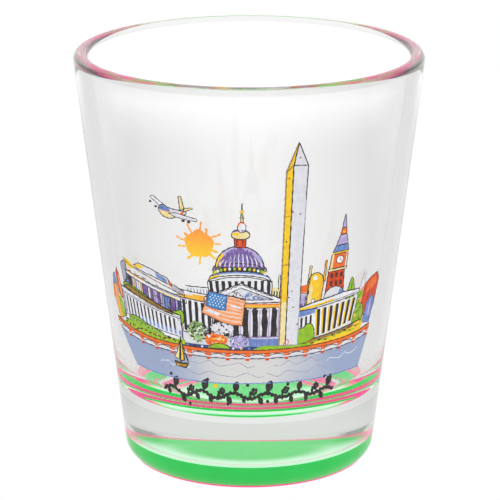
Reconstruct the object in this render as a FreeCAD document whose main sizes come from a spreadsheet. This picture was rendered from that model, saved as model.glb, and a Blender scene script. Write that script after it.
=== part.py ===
"""Souvenir shot glass: a tapered glass with a painted foot and a city print on its front.

The glass is one turned body with a recess under its foot. Two paint films cover the underside: a green
one in the recess and a pink ring round it, up to the heel. The print is a set of thin ink films on the
outside of the cone, one for each motif.
The frame has +Z up, the print facing -Y and the origin at the centre of the underside.
"""
import FreeCAD, Part
import math
import os
import Sketcher

DOCUMENT_NAME = "ShotGlass"
SHEET_NAME = "Sizes"

# Driving sizes in millimetres, each set by itself.
GLASS_SIZES = {
    "glass_height": 60.0,
    "rim_radius": 25.0,
    "foot_radius": 17.6,
    "rim_wall": 2.2,
    "floor_wall": 2.4,
    "floor_height": 10.4,
    "floor_corner": 6.0,
    "rim_rounding": 1.0,
    "heel_radius": 3.4,
    "bearing_inset": 0.9,
    "punt_ramp": 1.5,
    "punt_depth": 3.0,
    "punt_rounding": 0.8,
    "coat_thickness": 0.08,
    "ring_height": 0.8,
    "ring_inset": 0.6,
    "ink_thickness": 0.08,
    "ink_margin": 0.6,
    "art_radius": 21.3,
}

# The print, from the front layer to the back one. Each motif has its centre, measured as an arc round
# the glass at art_radius, the height of its foot above the table, its width and its height.
MOTIF_SIZES = {
    "sailing_boat": (-10.5, 18.5, 3.0, 3.8),
    "striped_flag": (-3.6, 26.5, 6.4, 4.4),
    "obelisk": (5.95, 23.0, 2.9, 29.3),
    "shore_bushes": (-6.7, 22.7, 7.4, 3.4),
    "arcade_bridge": (-1.6, 21.3, 44.4, 2.2),
    "columned_temple": (12.0, 22.6, 10.2, 7.6),
    "domed_hall": (-2.95, 23.2, 14.9, 20.6),
    "clock_tower": (13.1, 27.6, 3.2, 13.2),
    "castle_tower": (9.6, 27.0, 3.0, 6.8),
    "tree_row": (16.7, 22.8, 3.8, 7.8),
    "long_colonnade": (-16.0, 23.0, 11.8, 5.3),
    "left_gallery": (-15.5, 28.0, 12.0, 5.4),
    "left_towers": (-22.6, 23.2, 3.4, 8.0),
    "right_towers": (19.6, 22.8, 4.6, 8.8),
    "river_panel": (-1.5, 17.1, 44.2, 5.6),
    "sun": (-6.75, 34.3, 6.2, 6.2),
    "airplane": (-10.5, 40.0, 6.7, 3.9),
    "caption_flourish": (-0.1, 13.2, 27.6, 3.5),
}
MOTIF_FIELDS = ("place", "foot", "wide", "tall")

# Expressions of the aliases above, with a space between all their words.
WALL_SLOPE = "( rim_radius - foot_radius ) / glass_height"
GLASS_TOP = "coat_thickness + glass_height"
FLOOR_TOP = "coat_thickness + floor_height"
PUNT_TOP = "coat_thickness + punt_depth"
BORE_RIM_RADIUS = "rim_radius - rim_wall"
BORE_FLOOR_RADIUS = f"foot_radius + floor_height * {WALL_SLOPE} - floor_wall"
BEARING_RADIUS = "foot_radius - heel_radius - bearing_inset"
PUNT_RADIUS = f"{BEARING_RADIUS} - punt_ramp"
RAMP_LENGTH = "( punt_ramp ^ 2 + punt_depth ^ 2 ) ^ 0.5"
RAMP_SHIFT = f"coat_thickness * ( {RAMP_LENGTH} - punt_ramp ) / punt_depth"
RING_INNER_RADIUS = f"{BEARING_RADIUS} + ring_inset"
INK_START = "heel_radius + ink_margin"
INK_END = "glass_height - rim_rounding - ink_margin"

OUTLINE_STEP = 1.2
PRISM_MARGIN = 5.0
MATCH = 1e-4


def make_sheet(doc):
    """Write every driving size into an aliased cell of its own."""
    sheet = doc.addObject("Spreadsheet::Sheet", SHEET_NAME)
    sizes = dict(GLASS_SIZES)
    for motif, values in MOTIF_SIZES.items():
        for field, number in zip(MOTIF_FIELDS, values):
            sizes[f"{motif}_{field}"] = number
    for row, (alias, number) in enumerate(sizes.items(), start=1):
        sheet.set(f"A{row}", alias)
        sheet.set(f"B{row}", str(number))
        sheet.setAlias(f"B{row}", alias)
    doc.recompute()
    return sheet


def bound(words):
    """Give every alias in an expression the sheet's name."""
    return " ".join(
        f"{SHEET_NAME}.{word}" if word[0].isalpha() else word for word in words.split()
    )


def evaluate(sheet, words):
    """Work out an expression of aliases as a plain number."""
    return float(sheet.evalExpression(bound(words)))


def origin_feature(body, role):
    """Find one of a body's own origin planes or axes."""
    return next(item for item in body.Origin.OriginFeatures if item.Role == role)


def turned_body(doc, sheet, name, corners):
    """Turn a closed outline about Z; each corner is a pair of expressions, its radius and height."""
    body = doc.addObject("PartDesign::Body", name)
    sketch = body.newObject("Sketcher::SketchObject", f"{name}_section")
    sketch.AttachmentSupport = [(origin_feature(body, "XZ_Plane"), "")]
    sketch.MapMode = "FlatFace"
    points = [FreeCAD.Vector(evaluate(sheet, r), evaluate(sheet, z), 0) for r, z in corners]
    count = len(points)
    for index in range(count):
        sketch.addGeometry(Part.LineSegment(points[index], points[(index + 1) % count]), False)
    for index in range(count):
        sketch.addConstraint(Sketcher.Constraint("Coincident", index, 2, (index + 1) % count, 1))
    for index, (radius, height) in enumerate(corners):
        if radius == "0":
            sketch.addConstraint(Sketcher.Constraint("PointOnObject", index, 1, -2))
        else:
            number = sketch.addConstraint(
                Sketcher.Constraint("DistanceX", -1, 1, index, 1, points[index].x)
            )
            sketch.renameConstraint(number, f"radius_{index}")
            sketch.setExpression(f"Constraints.radius_{index}", bound(radius))
        if height == "0":
            sketch.addConstraint(Sketcher.Constraint("PointOnObject", index, 1, -1))
        else:
            number = sketch.addConstraint(
                Sketcher.Constraint("DistanceY", -1, 1, index, 1, points[index].y)
            )
            sketch.renameConstraint(number, f"height_{index}")
            sketch.setExpression(f"Constraints.height_{index}", bound(height))
    turn = body.newObject("PartDesign::Revolution", f"{name}_turn")
    turn.Profile = sketch
    turn.ReferenceAxis = (sketch, ["V_Axis"])
    turn.Angle = 360.0
    doc.recompute()
    return body


def ring_edges(sheet, shape, radius, height):
    """Name the round edges of a turned shape that lie at one radius and height."""
    wanted_radius = evaluate(sheet, radius)
    wanted_height = evaluate(sheet, height)
    names = []
    for number, edge in enumerate(shape.Edges, start=1):
        curve = edge.Curve
        if not isinstance(curve, Part.Circle):
            continue
        if abs(curve.Radius - wanted_radius) < MATCH and abs(curve.Center.z - wanted_height) < MATCH:
            names.append(f"Edge{number}")
    return names


def round_rings(doc, sheet, body, name, rings, radius):
    """Round the named rings of a turned body by one radius from the sheet."""
    base = body.Tip
    names = []
    for ring_radius, ring_height in rings:
        names += ring_edges(sheet, base.Shape, ring_radius, ring_height)
    fillet = body.newObject("PartDesign::Fillet", name)
    fillet.Base = (base, names)
    fillet.setExpression("Radius", bound(radius))
    doc.recompute()


def make_glass(doc, sheet):
    """The glass: a thick foot with a recess under it, and a wall that leans out to a round rim."""
    body = turned_body(
        doc,
        sheet,
        "glass_body",
        [
            ("0", PUNT_TOP),
            (PUNT_RADIUS, PUNT_TOP),
            (BEARING_RADIUS, "coat_thickness"),
            ("foot_radius", "coat_thickness"),
            ("rim_radius", GLASS_TOP),
            (BORE_RIM_RADIUS, GLASS_TOP),
            (BORE_FLOOR_RADIUS, FLOOR_TOP),
            ("0", FLOOR_TOP),
        ],
    )
    heel = [("foot_radius", "coat_thickness")]
    rim = [("rim_radius", GLASS_TOP), (BORE_RIM_RADIUS, GLASS_TOP)]
    corner = [(BORE_FLOOR_RADIUS, FLOOR_TOP)]
    bearing = [(BEARING_RADIUS, "coat_thickness"), (PUNT_RADIUS, PUNT_TOP)]
    round_rings(doc, sheet, body, "glass_heel", heel, "heel_radius")
    round_rings(doc, sheet, body, "glass_corner", corner, "floor_corner")
    round_rings(doc, sheet, body, "glass_rim", rim, "rim_rounding")
    round_rings(doc, sheet, body, "glass_bearing", bearing, "punt_rounding")
    return body


def make_coats(doc, sheet, glass):
    """The two paint films on the foot: a blank one film larger than the glass, less the glass."""
    foot_edge = f"foot_radius + coat_thickness * ( 1 - {WALL_SLOPE} )"
    blank_edge = f"foot_radius + coat_thickness + ( floor_height - coat_thickness ) * {WALL_SLOPE}"
    inner_radius = f"{PUNT_RADIUS} - {RAMP_SHIFT}"
    outer_radius = f"{BEARING_RADIUS} - {RAMP_SHIFT}"
    blank = turned_body(
        doc,
        sheet,
        "coat_blank",
        [
            ("0", "punt_depth"),
            (inner_radius, "punt_depth"),
            (outer_radius, "0"),
            (foot_edge, "0"),
            (blank_edge, "floor_height"),
            ("0", "floor_height"),
        ],
    )
    larger = "punt_rounding + coat_thickness"
    smaller = "punt_rounding - coat_thickness"
    round_rings(doc, sheet, blank, "blank_heel", [(foot_edge, "0")], "heel_radius + coat_thickness")
    round_rings(doc, sheet, blank, "blank_bearing", [(outer_radius, "0")], larger)
    round_rings(doc, sheet, blank, "blank_punt", [(inner_radius, "punt_depth")], smaller)
    film = cut(doc, "coat_film", blank, glass)
    core = cylinder(doc, "coat_core", RING_INNER_RADIUS, "floor_height")
    band = cylinder(doc, "coat_band", "rim_radius", "ring_height")
    green = common(doc, "base_green_coat", film, core)
    pink = common(doc, "base_pink_ring", film, cut(doc, "coat_collar", band, core))
    return [green, pink]


def cylinder(doc, name, radius, height):
    """A cylinder on Z that stands on the table, sized by two expressions."""
    item = doc.addObject("Part::Cylinder", name)
    item.setExpression("Radius", bound(radius))
    item.setExpression("Height", bound(height))
    return item


def cut(doc, name, base, tool):
    """Take one object away from another."""
    item = doc.addObject("Part::Cut", name)
    item.Base = base
    item.Tool = tool
    return item


def common(doc, name, base, tool):
    """Keep what two objects share."""
    item = doc.addObject("Part::Common", name)
    item.Base = base
    item.Tool = tool
    return item


def fused(doc, name, items):
    """Join several objects; one alone is left as it is."""
    if len(items) == 1:
        return items[0]
    item = doc.addObject("Part::MultiFuse", name)
    item.Shapes = list(items)
    return item


def make_ink_shell(doc):
    """The thin layer on the straight part of the wall that every ink film is a piece of."""
    cones = []
    for name, extra in (("ink_outside", "ink_thickness"), ("ink_inside", "0")):
        cone = doc.addObject("Part::Cone", name)
        start_radius = f"foot_radius + ( {INK_START} ) * {WALL_SLOPE} + {extra}"
        end_radius = f"foot_radius + ( {INK_END} ) * {WALL_SLOPE} + {extra}"
        cone.setExpression("Radius1", bound(start_radius))
        cone.setExpression("Radius2", bound(end_radius))
        cone.setExpression("Height", bound(f"{INK_END} - ( {INK_START} )"))
        cone.setExpression("Placement.Base.z", bound(f"coat_thickness + {INK_START}"))
        cones.append(cone)
    return cut(doc, "ink_shell", cones[0], cones[1])


# Outlines. Each one is a closed run of (u, v) points: u goes from -0.5 to 0.5 across the motif's width
# and v from 0 to 1 up its height.


def arc(centre_u, centre_v, radius_u, radius_v, start, end, steps=8):
    """Points along part of an ellipse, from one angle in degrees to another."""
    points = []
    for step in range(steps + 1):
        angle = math.radians(start + (end - start) * step / steps)
        points.append((centre_u + radius_u * math.cos(angle), centre_v + radius_v * math.sin(angle)))
    return points


def sailing_boat():
    """A small hull with one sail."""
    hull = [(-0.5, 0.24), (-0.3, 0.04), (0.3, 0.0), (0.5, 0.2)]
    sail = [(0.4, 0.26), (0.06, 1.0), (-0.06, 1.0), (-0.06, 0.28)]
    return hull + sail


def striped_flag():
    """A flag on the slant, with its free edge lifted."""
    return [(-0.5, 0.3), (0.0, 0.1), (0.46, 0.0), (0.5, 0.82), (0.1, 0.84), (-0.31, 1.0)]


def obelisk():
    """A tall shaft with two faces in view and a pointed cap."""
    return [(-0.5, 0.0), (0.45, 0.0), (0.5, 0.885), (0.07, 1.0), (-0.46, 0.85)]


def shore_bushes():
    """Two round bushes that stand side by side on the bank."""
    left = arc(-0.25, 0.4, 0.25, 0.6, 180, 12)
    right = arc(0.25, 0.2, 0.25, 0.45, 150, 0)
    return [(-0.5, 0.0)] + left + right + [(0.5, 0.0)]


def arcade_bridge():
    """A long low deck that sags a little towards its middle."""
    steps = 12
    sag = 0.54
    deck = 0.46
    lower = [(step / steps - 0.5, sag * (2 * step / steps - 1) ** 2) for step in range(steps + 1)]
    upper = [(u, v + deck) for u, v in reversed(lower)]
    return lower + upper


def columned_temple():
    """A colonnade under a low gable, with a small dome behind its right half."""
    gable = [(-0.5, 0.72), (-0.14, 0.98)]
    dome = arc(0.16, 0.8, 0.16, 0.2, 150, 0, 6)
    return [(-0.5, 0.0), (0.5, 0.0), (0.5, 0.7), (0.36, 0.74)] + dome[::-1] + gable[::-1]


def domed_hall():
    """A wide hall with a portico, a drum, a dome, a lantern and a figure on top."""
    centre = 0.13
    right = [(0.5, 0.0), (0.5, 0.3), (0.3, 0.37), (0.43, 0.39), (0.43, 0.49), (0.35, 0.49)]
    dome_right = arc(centre, 0.56, 0.22, 0.14, 0, 60, 5)
    dome_left = arc(centre, 0.56, 0.22, 0.14, 120, 180, 5)
    lantern_right = [(centre + 0.09, 0.77), (centre + 0.04, 0.88), (centre + 0.03, 1.0)]
    lantern_left = [(2 * centre - u, v) for u, v in reversed(lantern_right)]
    left = [(-0.09, 0.49), (-0.19, 0.49), (-0.19, 0.39), (-0.12, 0.37), (-0.27, 0.32), (-0.5, 0.32)]
    return right + dome_right + lantern_right + lantern_left + dome_left + left + [(-0.5, 0.0)]


def clock_tower():
    """A square tower with a wider clock stage and a tall pointed roof."""
    stage = [(0.44, 0.0), (0.44, 0.42), (0.5, 0.44), (0.5, 0.62), (0.4, 0.64)]
    spire = [(0.3, 0.76), (0.06, 1.0), (-0.06, 1.0), (-0.3, 0.76)]
    return stage + spire + [(-u, v) for u, v in reversed(stage)]


def castle_tower():
    """Two pointed turrets on one block."""
    turrets = [(0.5, 0.78), (0.3, 1.0), (0.1, 0.74), (-0.1, 0.74), (-0.3, 0.94), (-0.5, 0.7)]
    return [(-0.5, 0.0), (0.5, 0.0)] + turrets


def tree_row():
    """Tall round trees in a clump."""
    crown = arc(0.2, 0.56, 0.3, 0.3, -20, 130) + arc(-0.14, 0.74, 0.3, 0.26, 60, 190)
    return [(-0.5, 0.0), (0.44, 0.0)] + crown


def long_colonnade():
    """A long low front of columns under a flat roof."""
    return [(-0.5, 0.06), (0.5, 0.0), (0.5, 0.97), (0.0, 0.92), (-0.5, 1.0)]


def left_gallery():
    """Slanted roofs that step down to the right."""
    return [(-0.5, 0.0), (0.5, 0.0), (0.5, 0.3), (0.16, 0.62), (-0.1, 0.66), (-0.33, 1.0), (-0.48, 0.9)]


def left_towers():
    """Two flat-topped towers, the left one lower."""
    right = [(0.5, 0.0), (0.5, 0.72), (0.16, 0.76), (0.16, 1.0)]
    return [(-0.5, 0.02)] + right + [(-0.2, 1.0), (-0.2, 0.84), (-0.5, 0.84)]


def right_towers():
    """Three towers of different heights."""
    left = [(-0.14, 0.8), (-0.3, 0.98), (-0.5, 0.8)]
    return [(-0.5, 0.0), (0.5, 0.0), (0.5, 0.62), (0.2, 0.66), (0.2, 1.0), (-0.14, 0.96)] + left


def river_panel():
    """A stretch of water, wider at its top."""
    return [(-0.41, 0.0), (0.0, -0.03), (0.46, 0.0), (0.5, 0.93), (0.0, 0.8), (-0.5, 1.0)]


def sun():
    """A disc with rays all round."""
    rays = 12
    core = 0.37
    points = []
    for corner in range(2 * rays):
        reach = 0.5 if corner % 2 else core
        angle = math.pi * corner / rays
        points.append((reach * math.cos(angle), 0.5 + reach * math.sin(angle)))
    return points


def airplane():
    """A jet in flight, seen from the side, with its wing and its fin."""
    nose = [(-0.5, 0.66), (-0.4, 0.54), (0.0, 0.38)]
    wing = [(0.1, 0.0), (0.22, 0.02), (0.16, 0.36)]
    tail = [(0.46, 0.3), (0.5, 0.38), (0.42, 0.42), (0.4, 0.78), (0.3, 0.8), (0.22, 0.54)]
    far_wing = [(0.0, 0.68), (0.02, 1.0), (-0.06, 1.0), (-0.16, 0.74), (-0.4, 0.82)]
    return nose + wing + tail + far_wing


def caption_flourish():
    """A wavy ribbon that tapers at both ends."""
    steps = 36
    waves = 6
    thickness = 0.34
    lower = []
    upper = []
    for step in range(steps + 1):
        share = step / steps
        middle = 0.5 + 0.3 * math.sin(2 * math.pi * waves * share)
        half = 0.5 * thickness * (0.25 + math.sin(math.pi * share))
        lower.append((share - 0.5, middle - half))
        upper.append((share - 0.5, middle + half))
    return lower + upper[::-1]


OUTLINES = {
    "sailing_boat": sailing_boat,
    "striped_flag": striped_flag,
    "obelisk": obelisk,
    "shore_bushes": shore_bushes,
    "arcade_bridge": arcade_bridge,
    "columned_temple": columned_temple,
    "domed_hall": domed_hall,
    "clock_tower": clock_tower,
    "castle_tower": castle_tower,
    "tree_row": tree_row,
    "long_colonnade": long_colonnade,
    "left_gallery": left_gallery,
    "left_towers": left_towers,
    "right_towers": right_towers,
    "river_panel": river_panel,
    "sun": sun,
    "airplane": airplane,
    "caption_flourish": caption_flourish,
}


def wrapped(sheet, motif, outline):
    """Wrap a motif's outline round the cone and give its front view as points on the XZ plane."""
    place, foot, wide, tall = (evaluate(sheet, f"{motif}_{field}") for field in MOTIF_FIELDS)
    slope = evaluate(sheet, WALL_SLOPE)
    coat = evaluate(sheet, "coat_thickness")
    foot_radius = evaluate(sheet, "foot_radius")
    art_radius = evaluate(sheet, "art_radius")
    flat = [(place + u * wide, foot + v * tall) for u, v in outline]
    points = []
    for (s0, h0), (s1, h1) in zip(flat, flat[1:] + flat[:1]):
        steps = max(1, math.ceil(abs(s1 - s0) / OUTLINE_STEP))
        for step in range(steps):
            share = step / steps
            height = h0 + (h1 - h0) * share
            angle = (s0 + (s1 - s0) * share) / art_radius
            radius = foot_radius + (height - coat) * slope
            points.append(FreeCAD.Vector(radius * math.sin(angle), 0, height))
    return points


def make_prism(doc, sheet, motif):
    """A motif's wrapped outline, drawn out forwards through the ink shell."""
    points = wrapped(sheet, motif, OUTLINES[motif]())
    stencil = doc.addObject("Part::Feature", f"{motif}_stencil")
    stencil.Shape = Part.makePolygon(points + points[:1])
    prism = doc.addObject("Part::Extrusion", f"{motif}_prism")
    prism.Base = stencil
    prism.DirMode = "Custom"
    prism.Dir = FreeCAD.Vector(0, -1, 0)
    prism.Solid = True
    prism.setExpression("LengthFwd", bound(f"rim_radius + {PRISM_MARGIN}"))
    return prism


def make_print(doc, sheet):
    """Every ink film, from the front layer to the back one, each cut round those in front of it."""
    shell = make_ink_shell(doc)
    films = []
    in_front = []
    for motif in MOTIF_SIZES:
        prism = make_prism(doc, sheet, motif)
        stencil = prism
        if in_front:
            stencil = cut(doc, f"{motif}_bare", prism, fused(doc, f"{motif}_front", in_front))
        films.append(common(doc, motif, shell, stencil))
        in_front.append(prism)
    return films


def check(doc, pieces):
    """Stop if any object failed or any piece has no valid shape."""
    doc.recompute()
    for item in doc.Objects:
        if "Invalid" in item.State or "Error" in item.State:
            raise RuntimeError(f"{item.Label} failed: {item.State}")
    for piece in pieces:
        if piece.Shape.isNull() or not piece.Shape.isValid() or not piece.Shape.Solids:
            raise RuntimeError(f"{piece.Label} has no valid solid")


def main():
    """Build the document and write one STEP file for each piece."""
    doc = FreeCAD.newDocument(DOCUMENT_NAME)
    sheet = make_sheet(doc)
    glass = make_glass(doc, sheet)
    pieces = [glass] + make_coats(doc, sheet, glass) + make_print(doc, sheet)
    check(doc, pieces)
    os.makedirs("parts", exist_ok=True)
    for piece in pieces:
        piece.Shape.exportStep(os.path.join("parts", f"{piece.Label}.step"))


main()
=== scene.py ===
"""Souvenir shot glass: clear tapered glass, painted underside and a printed skyline on its front."""
import logging
import math
import random
from dataclasses import dataclass, field
from enum import Enum
from typing import Callable, Iterable, Sequence

import bmesh
import bpy
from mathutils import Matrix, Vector


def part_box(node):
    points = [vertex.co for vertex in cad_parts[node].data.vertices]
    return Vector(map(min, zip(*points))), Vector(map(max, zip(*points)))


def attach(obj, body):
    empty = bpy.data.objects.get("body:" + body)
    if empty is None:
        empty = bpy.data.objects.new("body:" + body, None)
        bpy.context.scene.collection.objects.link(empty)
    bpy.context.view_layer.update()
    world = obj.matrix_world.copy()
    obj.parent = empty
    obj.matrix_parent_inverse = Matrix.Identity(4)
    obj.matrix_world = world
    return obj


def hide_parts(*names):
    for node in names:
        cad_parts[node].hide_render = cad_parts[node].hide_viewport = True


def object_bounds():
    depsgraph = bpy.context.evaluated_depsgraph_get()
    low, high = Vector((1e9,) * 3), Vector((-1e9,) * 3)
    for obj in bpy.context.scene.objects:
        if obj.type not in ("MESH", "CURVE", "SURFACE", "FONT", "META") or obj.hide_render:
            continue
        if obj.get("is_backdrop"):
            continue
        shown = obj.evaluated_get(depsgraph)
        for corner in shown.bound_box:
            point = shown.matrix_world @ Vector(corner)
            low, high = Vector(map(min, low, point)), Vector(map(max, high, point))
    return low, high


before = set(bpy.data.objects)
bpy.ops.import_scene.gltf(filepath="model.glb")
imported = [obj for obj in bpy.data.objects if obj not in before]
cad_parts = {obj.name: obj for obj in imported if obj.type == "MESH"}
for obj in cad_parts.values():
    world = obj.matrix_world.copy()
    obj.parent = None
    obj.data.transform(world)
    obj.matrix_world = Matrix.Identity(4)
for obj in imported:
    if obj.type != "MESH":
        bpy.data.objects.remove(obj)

Point = tuple[float, float]
Colour = tuple[float, float, float]
Patch = Callable[[float, float], Point]

LOG = logging.getLogger("shot_glass")
MM = 0.001
BODY = "root"

# The glass, in millimetres, the darker tint of the glass round its foot, which is painted shade over the
# thick glass's own slight tint, and that glass's place among the glass's materials.
GLASS_RIM_RADIUS = 25.0
GLASS_FOOT_RADIUS = 17.6
FOOT_SHADE_TINT = (0.75, 0.775, 0.74)
FOOT_MATERIAL = 1

# The print, in millimetres: the radius at which its arcs are measured, the usual line and how much
# heavier every line is drawn, the height of a layer, the width of the strips that follow the curve of
# the wall, and how far the ink reaches into the glass.
ART_RADIUS = 21.3
PEN = 0.18
LINE_WEIGHT = 1.18
LINE_STEP = 0.3
LAYER = 0.002
SLICE = 0.5
EMBED = 0.01

# A line that turns by more than this is broken into two strokes.
CORNER = math.radians(48.0)

# The colours of the paints under the foot, and the pale mint of the painted highlight on the green paint.
GREEN = (0.006, 0.64, 0.085)
PINK = (0.95, 0.045, 0.27)
HIGHLIGHT_MINT = (0.62, 0.96, 0.72)
WHITE = (1.0, 1.0, 1.0)


def paint(red: int, green: int, blue: int) -> Colour:
    """Turn a colour as it is seen on a screen, 0 to 255, into the linear values that shaders use.

    Args:
        red: The red part.
        green: The green part.
        blue: The blue part.

    Returns:
        The linear colour.
    """
    def linear(value: int) -> float:
        """Undo the screen's curve for one part."""
        share = value / 255.0
        return share / 12.92 if share <= 0.04045 else ((share + 0.055) / 1.055) ** 2.4

    return linear(red), linear(green), linear(blue)


class Nodes:
    """A node tree, with short ways to add and join nodes."""

    def __init__(self, tree: bpy.types.NodeTree) -> None:
        """Take the tree that the nodes go into."""
        self.tree = tree

    def node(self, kind: str, **settings: object) -> bpy.types.Node:
        """Add a node and give it its settings.

        Args:
            kind: The node's type.
            **settings: Properties of the node, by name.

        Returns:
            The new node.
        """
        node = self.tree.nodes.new(kind)
        for name, value in settings.items():
            setattr(node, name, value)
        return node

    def join(self, start: bpy.types.NodeSocket, end: bpy.types.NodeSocket) -> None:
        """Link one socket to another."""
        self.tree.links.new(start, end)

    def place(self, source: str = "Object") -> bpy.types.Node:
        """Split a position, or a direction in the room, into its X, Y and Z.

        Args:
            source: The coordinates that it is read from.

        Returns:
            The node with the three parts.
        """
        coords = self.node("ShaderNodeTexCoord")
        split = self.node("ShaderNodeSeparateXYZ")
        self.join(coords.outputs[source], split.inputs[0])
        return split

    def noise(self, scale: float, detail: float = 3.0) -> bpy.types.NodeSocket:
        """A cloudy pattern that is fixed to the piece.

        Args:
            scale: How many clouds there are in a metre.
            detail: How much finer structure the clouds have.

        Returns:
            The pattern's value.
        """
        coords = self.node("ShaderNodeTexCoord")
        noise = self.node("ShaderNodeTexNoise")
        noise.inputs["Scale"].default_value = scale
        noise.inputs["Detail"].default_value = detail
        self.join(coords.outputs["Object"], noise.inputs["Vector"])
        return noise.outputs["Fac"]

    def math(self, operation: str, first: object, second: object = 0.0) -> bpy.types.NodeSocket:
        """Work out one sum.

        Args:
            operation: Blender's name for the sum.
            first: A socket or a plain number.
            second: A socket or a plain number.

        Returns:
            The result.
        """
        node = self.node("ShaderNodeMath", operation=operation)
        for number, value in enumerate((first, second)):
            if isinstance(value, bpy.types.NodeSocket):
                self.join(value, node.inputs[number])
            else:
                node.inputs[number].default_value = value
        return node.outputs[0]

    def ramp(
        self, value: bpy.types.NodeSocket, low: float, high: float, start: float = 0.0, end: float = 1.0,
    ) -> bpy.types.Node:
        """Go from one number to another as a value goes from low to high.

        Args:
            value: What is measured.
            low: Where the result is start.
            high: Where the result is end.
            start: The first result.
            end: The last result.

        Returns:
            The node that does so.
        """
        ramp = self.node("ShaderNodeMapRange")
        for name, number in (("From Min", low), ("From Max", high), ("To Min", start), ("To Max", end)):
            ramp.inputs[name].default_value = number
        self.join(value, ramp.inputs["Value"])
        return ramp

    def fade(
        self, value: bpy.types.NodeSocket, low: float, high: float, top: float = 1.0,
    ) -> bpy.types.NodeSocket:
        """Rise smoothly from 0 at low to top at high.

        Args:
            value: What is measured.
            low: Where the result is 0.
            high: Where the result is top.
            top: The highest result.

        Returns:
            The result.
        """
        ramp = self.ramp(value, low, high, 0.0, top)
        ramp.interpolation_type = "SMOOTHSTEP"
        return ramp.outputs[0]

    def blend(self, share: bpy.types.NodeSocket, first: object, second: object) -> bpy.types.NodeSocket:
        """Mix two colours.

        Args:
            share: How much of the second colour there is.
            first: A socket or a colour.
            second: A socket or a colour.

        Returns:
            The mixed colour.
        """
        mix = self.node("ShaderNodeMix", data_type="RGBA")
        self.join(share, mix.inputs["Factor"])
        for name, value in (("A", first), ("B", second)):
            if isinstance(value, bpy.types.NodeSocket):
                self.join(value, mix.inputs[name])
            else:
                mix.inputs[name].default_value = (*value, 1.0)
        return mix.outputs["Result"]


class Shader(Nodes):
    """A material with its main shader."""

    def __init__(self, name: str) -> None:
        """Make the material and find its main shader."""
        self.material = bpy.data.materials.new(name)
        self.material.use_nodes = True
        super().__init__(self.material.node_tree)
        self.main = self.tree.nodes["Principled BSDF"]

    def set(self, **values: float | Colour) -> None:
        """Set the main shader's own sockets; a name's underscores stand for spaces."""
        for name, value in values.items():
            socket = self.main.inputs[name.replace("_", " ")]
            socket.default_value = (*value, 1.0) if isinstance(value, tuple) else value

    def bump(self, height: bpy.types.NodeSocket, depth: float, strength: float = 1.0) -> None:
        """Give the surface a relief.

        Args:
            height: The relief's pattern.
            depth: How deep it is, in metres.
            strength: How much of it shows.
        """
        bump = self.node("ShaderNodeBump")
        bump.inputs["Distance"].default_value = depth
        bump.inputs["Strength"].default_value = strength
        self.join(height, bump.inputs["Height"])
        self.join(bump.outputs["Normal"], self.main.inputs["Normal"])


@dataclass(frozen=True)
class ClearGlass:
    """Clear soda-lime glass."""

    name: str = "clear_glass"
    tint: Colour = (0.978, 0.980, 0.976)
    refraction: float = 1.52

    def build(self) -> bpy.types.Material:
        """Make the material."""
        shader = Shader(self.name)
        shader.set(Base_Color=self.tint, Roughness=0.0, IOR=self.refraction, Transmission_Weight=1.0)
        return shader.material


@dataclass(frozen=True)
class HeelPaint:
    """Fluorescent pink enamel on the ring that the glass stands on, with a painted glow for its
    fluorescence.
    """

    colour: Colour = PINK
    painted_glow: float = 0.36
    roughness: float = 0.12
    refraction: float = 1.5
    cloud: float = 700.0
    shade: float = 0.86

    def build(self) -> bpy.types.Material:
        """Make the material."""
        shader = Shader("pink_enamel")
        # The emission is a painted glow, standing in for the paint's fluorescence.
        shader.set(Roughness=self.roughness, IOR=self.refraction, Emission_Strength=self.painted_glow)
        deep = tuple(self.shade * part for part in self.colour)
        tone = shader.blend(shader.noise(self.cloud), self.colour, deep)
        shader.join(tone, shader.main.inputs["Base Color"])
        shader.join(tone, shader.main.inputs["Emission Color"])
        return shader.material


@dataclass(frozen=True)
class RecessPaint:
    """Fluorescent green enamel in the recess, pink at its edge, with a painted pale highlight at the front.
    """

    colour: Colour = GREEN
    edge: Colour = PINK
    pale: Colour = HIGHLIGHT_MINT
    painted_glow: float = 0.42
    roughness: float = 0.1
    refraction: float = 1.2
    gloss: float = 0.3
    cloud: float = 500.0
    shade: float = 0.85
    edge_inner: float = 9.6 * MM
    edge_solid: float = 11.4 * MM
    edge_outer: float = 11.85 * MM
    highlight_inner: float = 5.0 * MM
    highlight_outer: float = 9.5 * MM
    highlight_full: float = -1.0 * MM
    highlight_end: float = 6.0 * MM
    highlight_share: float = 0.95
    edge_highlight_full: float = -3.0 * MM
    edge_highlight_end: float = 5.0 * MM

    def build(self) -> bpy.types.Material:
        """Make the material."""
        shader = Shader("green_enamel")
        shader.set(Roughness=self.roughness, IOR=self.refraction)
        # The emission is a painted glow, standing in for the paint's fluorescence.
        shader.set(Specular_IOR_Level=self.gloss, Emission_Strength=self.painted_glow)
        split = shader.place()
        across = split.outputs["X"]
        along = split.outputs["Y"]
        square = shader.math(
            "ADD", shader.math("MULTIPLY", across, across), shader.math("MULTIPLY", along, along),
        )
        radius = shader.math("SQRT", square)
        ceiling = shader.math("LESS_THAN", radius, self.edge_outer)
        ring = shader.math("MULTIPLY", ceiling, shader.fade(radius, self.edge_inner, self.edge_solid))
        deep = tuple(self.shade * part for part in self.colour)
        green = shader.blend(shader.noise(self.cloud), self.colour, deep)
        # Painted highlight: pale mint over the front of the recess, for the reflection seen there at a
        # grazing angle.
        front_highlight = shader.math(
            "MULTIPLY", ceiling, shader.fade(along, self.highlight_end, self.highlight_full, self.highlight_share),
        )
        front_highlight = shader.math("MULTIPLY", front_highlight, shader.fade(radius, self.highlight_inner, self.highlight_outer))
        # Painted highlight: towards the front, the pink edge turns pale mint too.
        edge_highlight = shader.math("MULTIPLY", ring, shader.fade(along, self.edge_highlight_end, self.edge_highlight_full))
        tone = shader.blend(ring, shader.blend(front_highlight, green, self.pale), self.edge)
        tone = shader.blend(edge_highlight, tone, self.pale)
        shader.join(tone, shader.main.inputs["Base Color"])
        shader.join(tone, shader.main.inputs["Emission Color"])
        return shader.material


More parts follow.
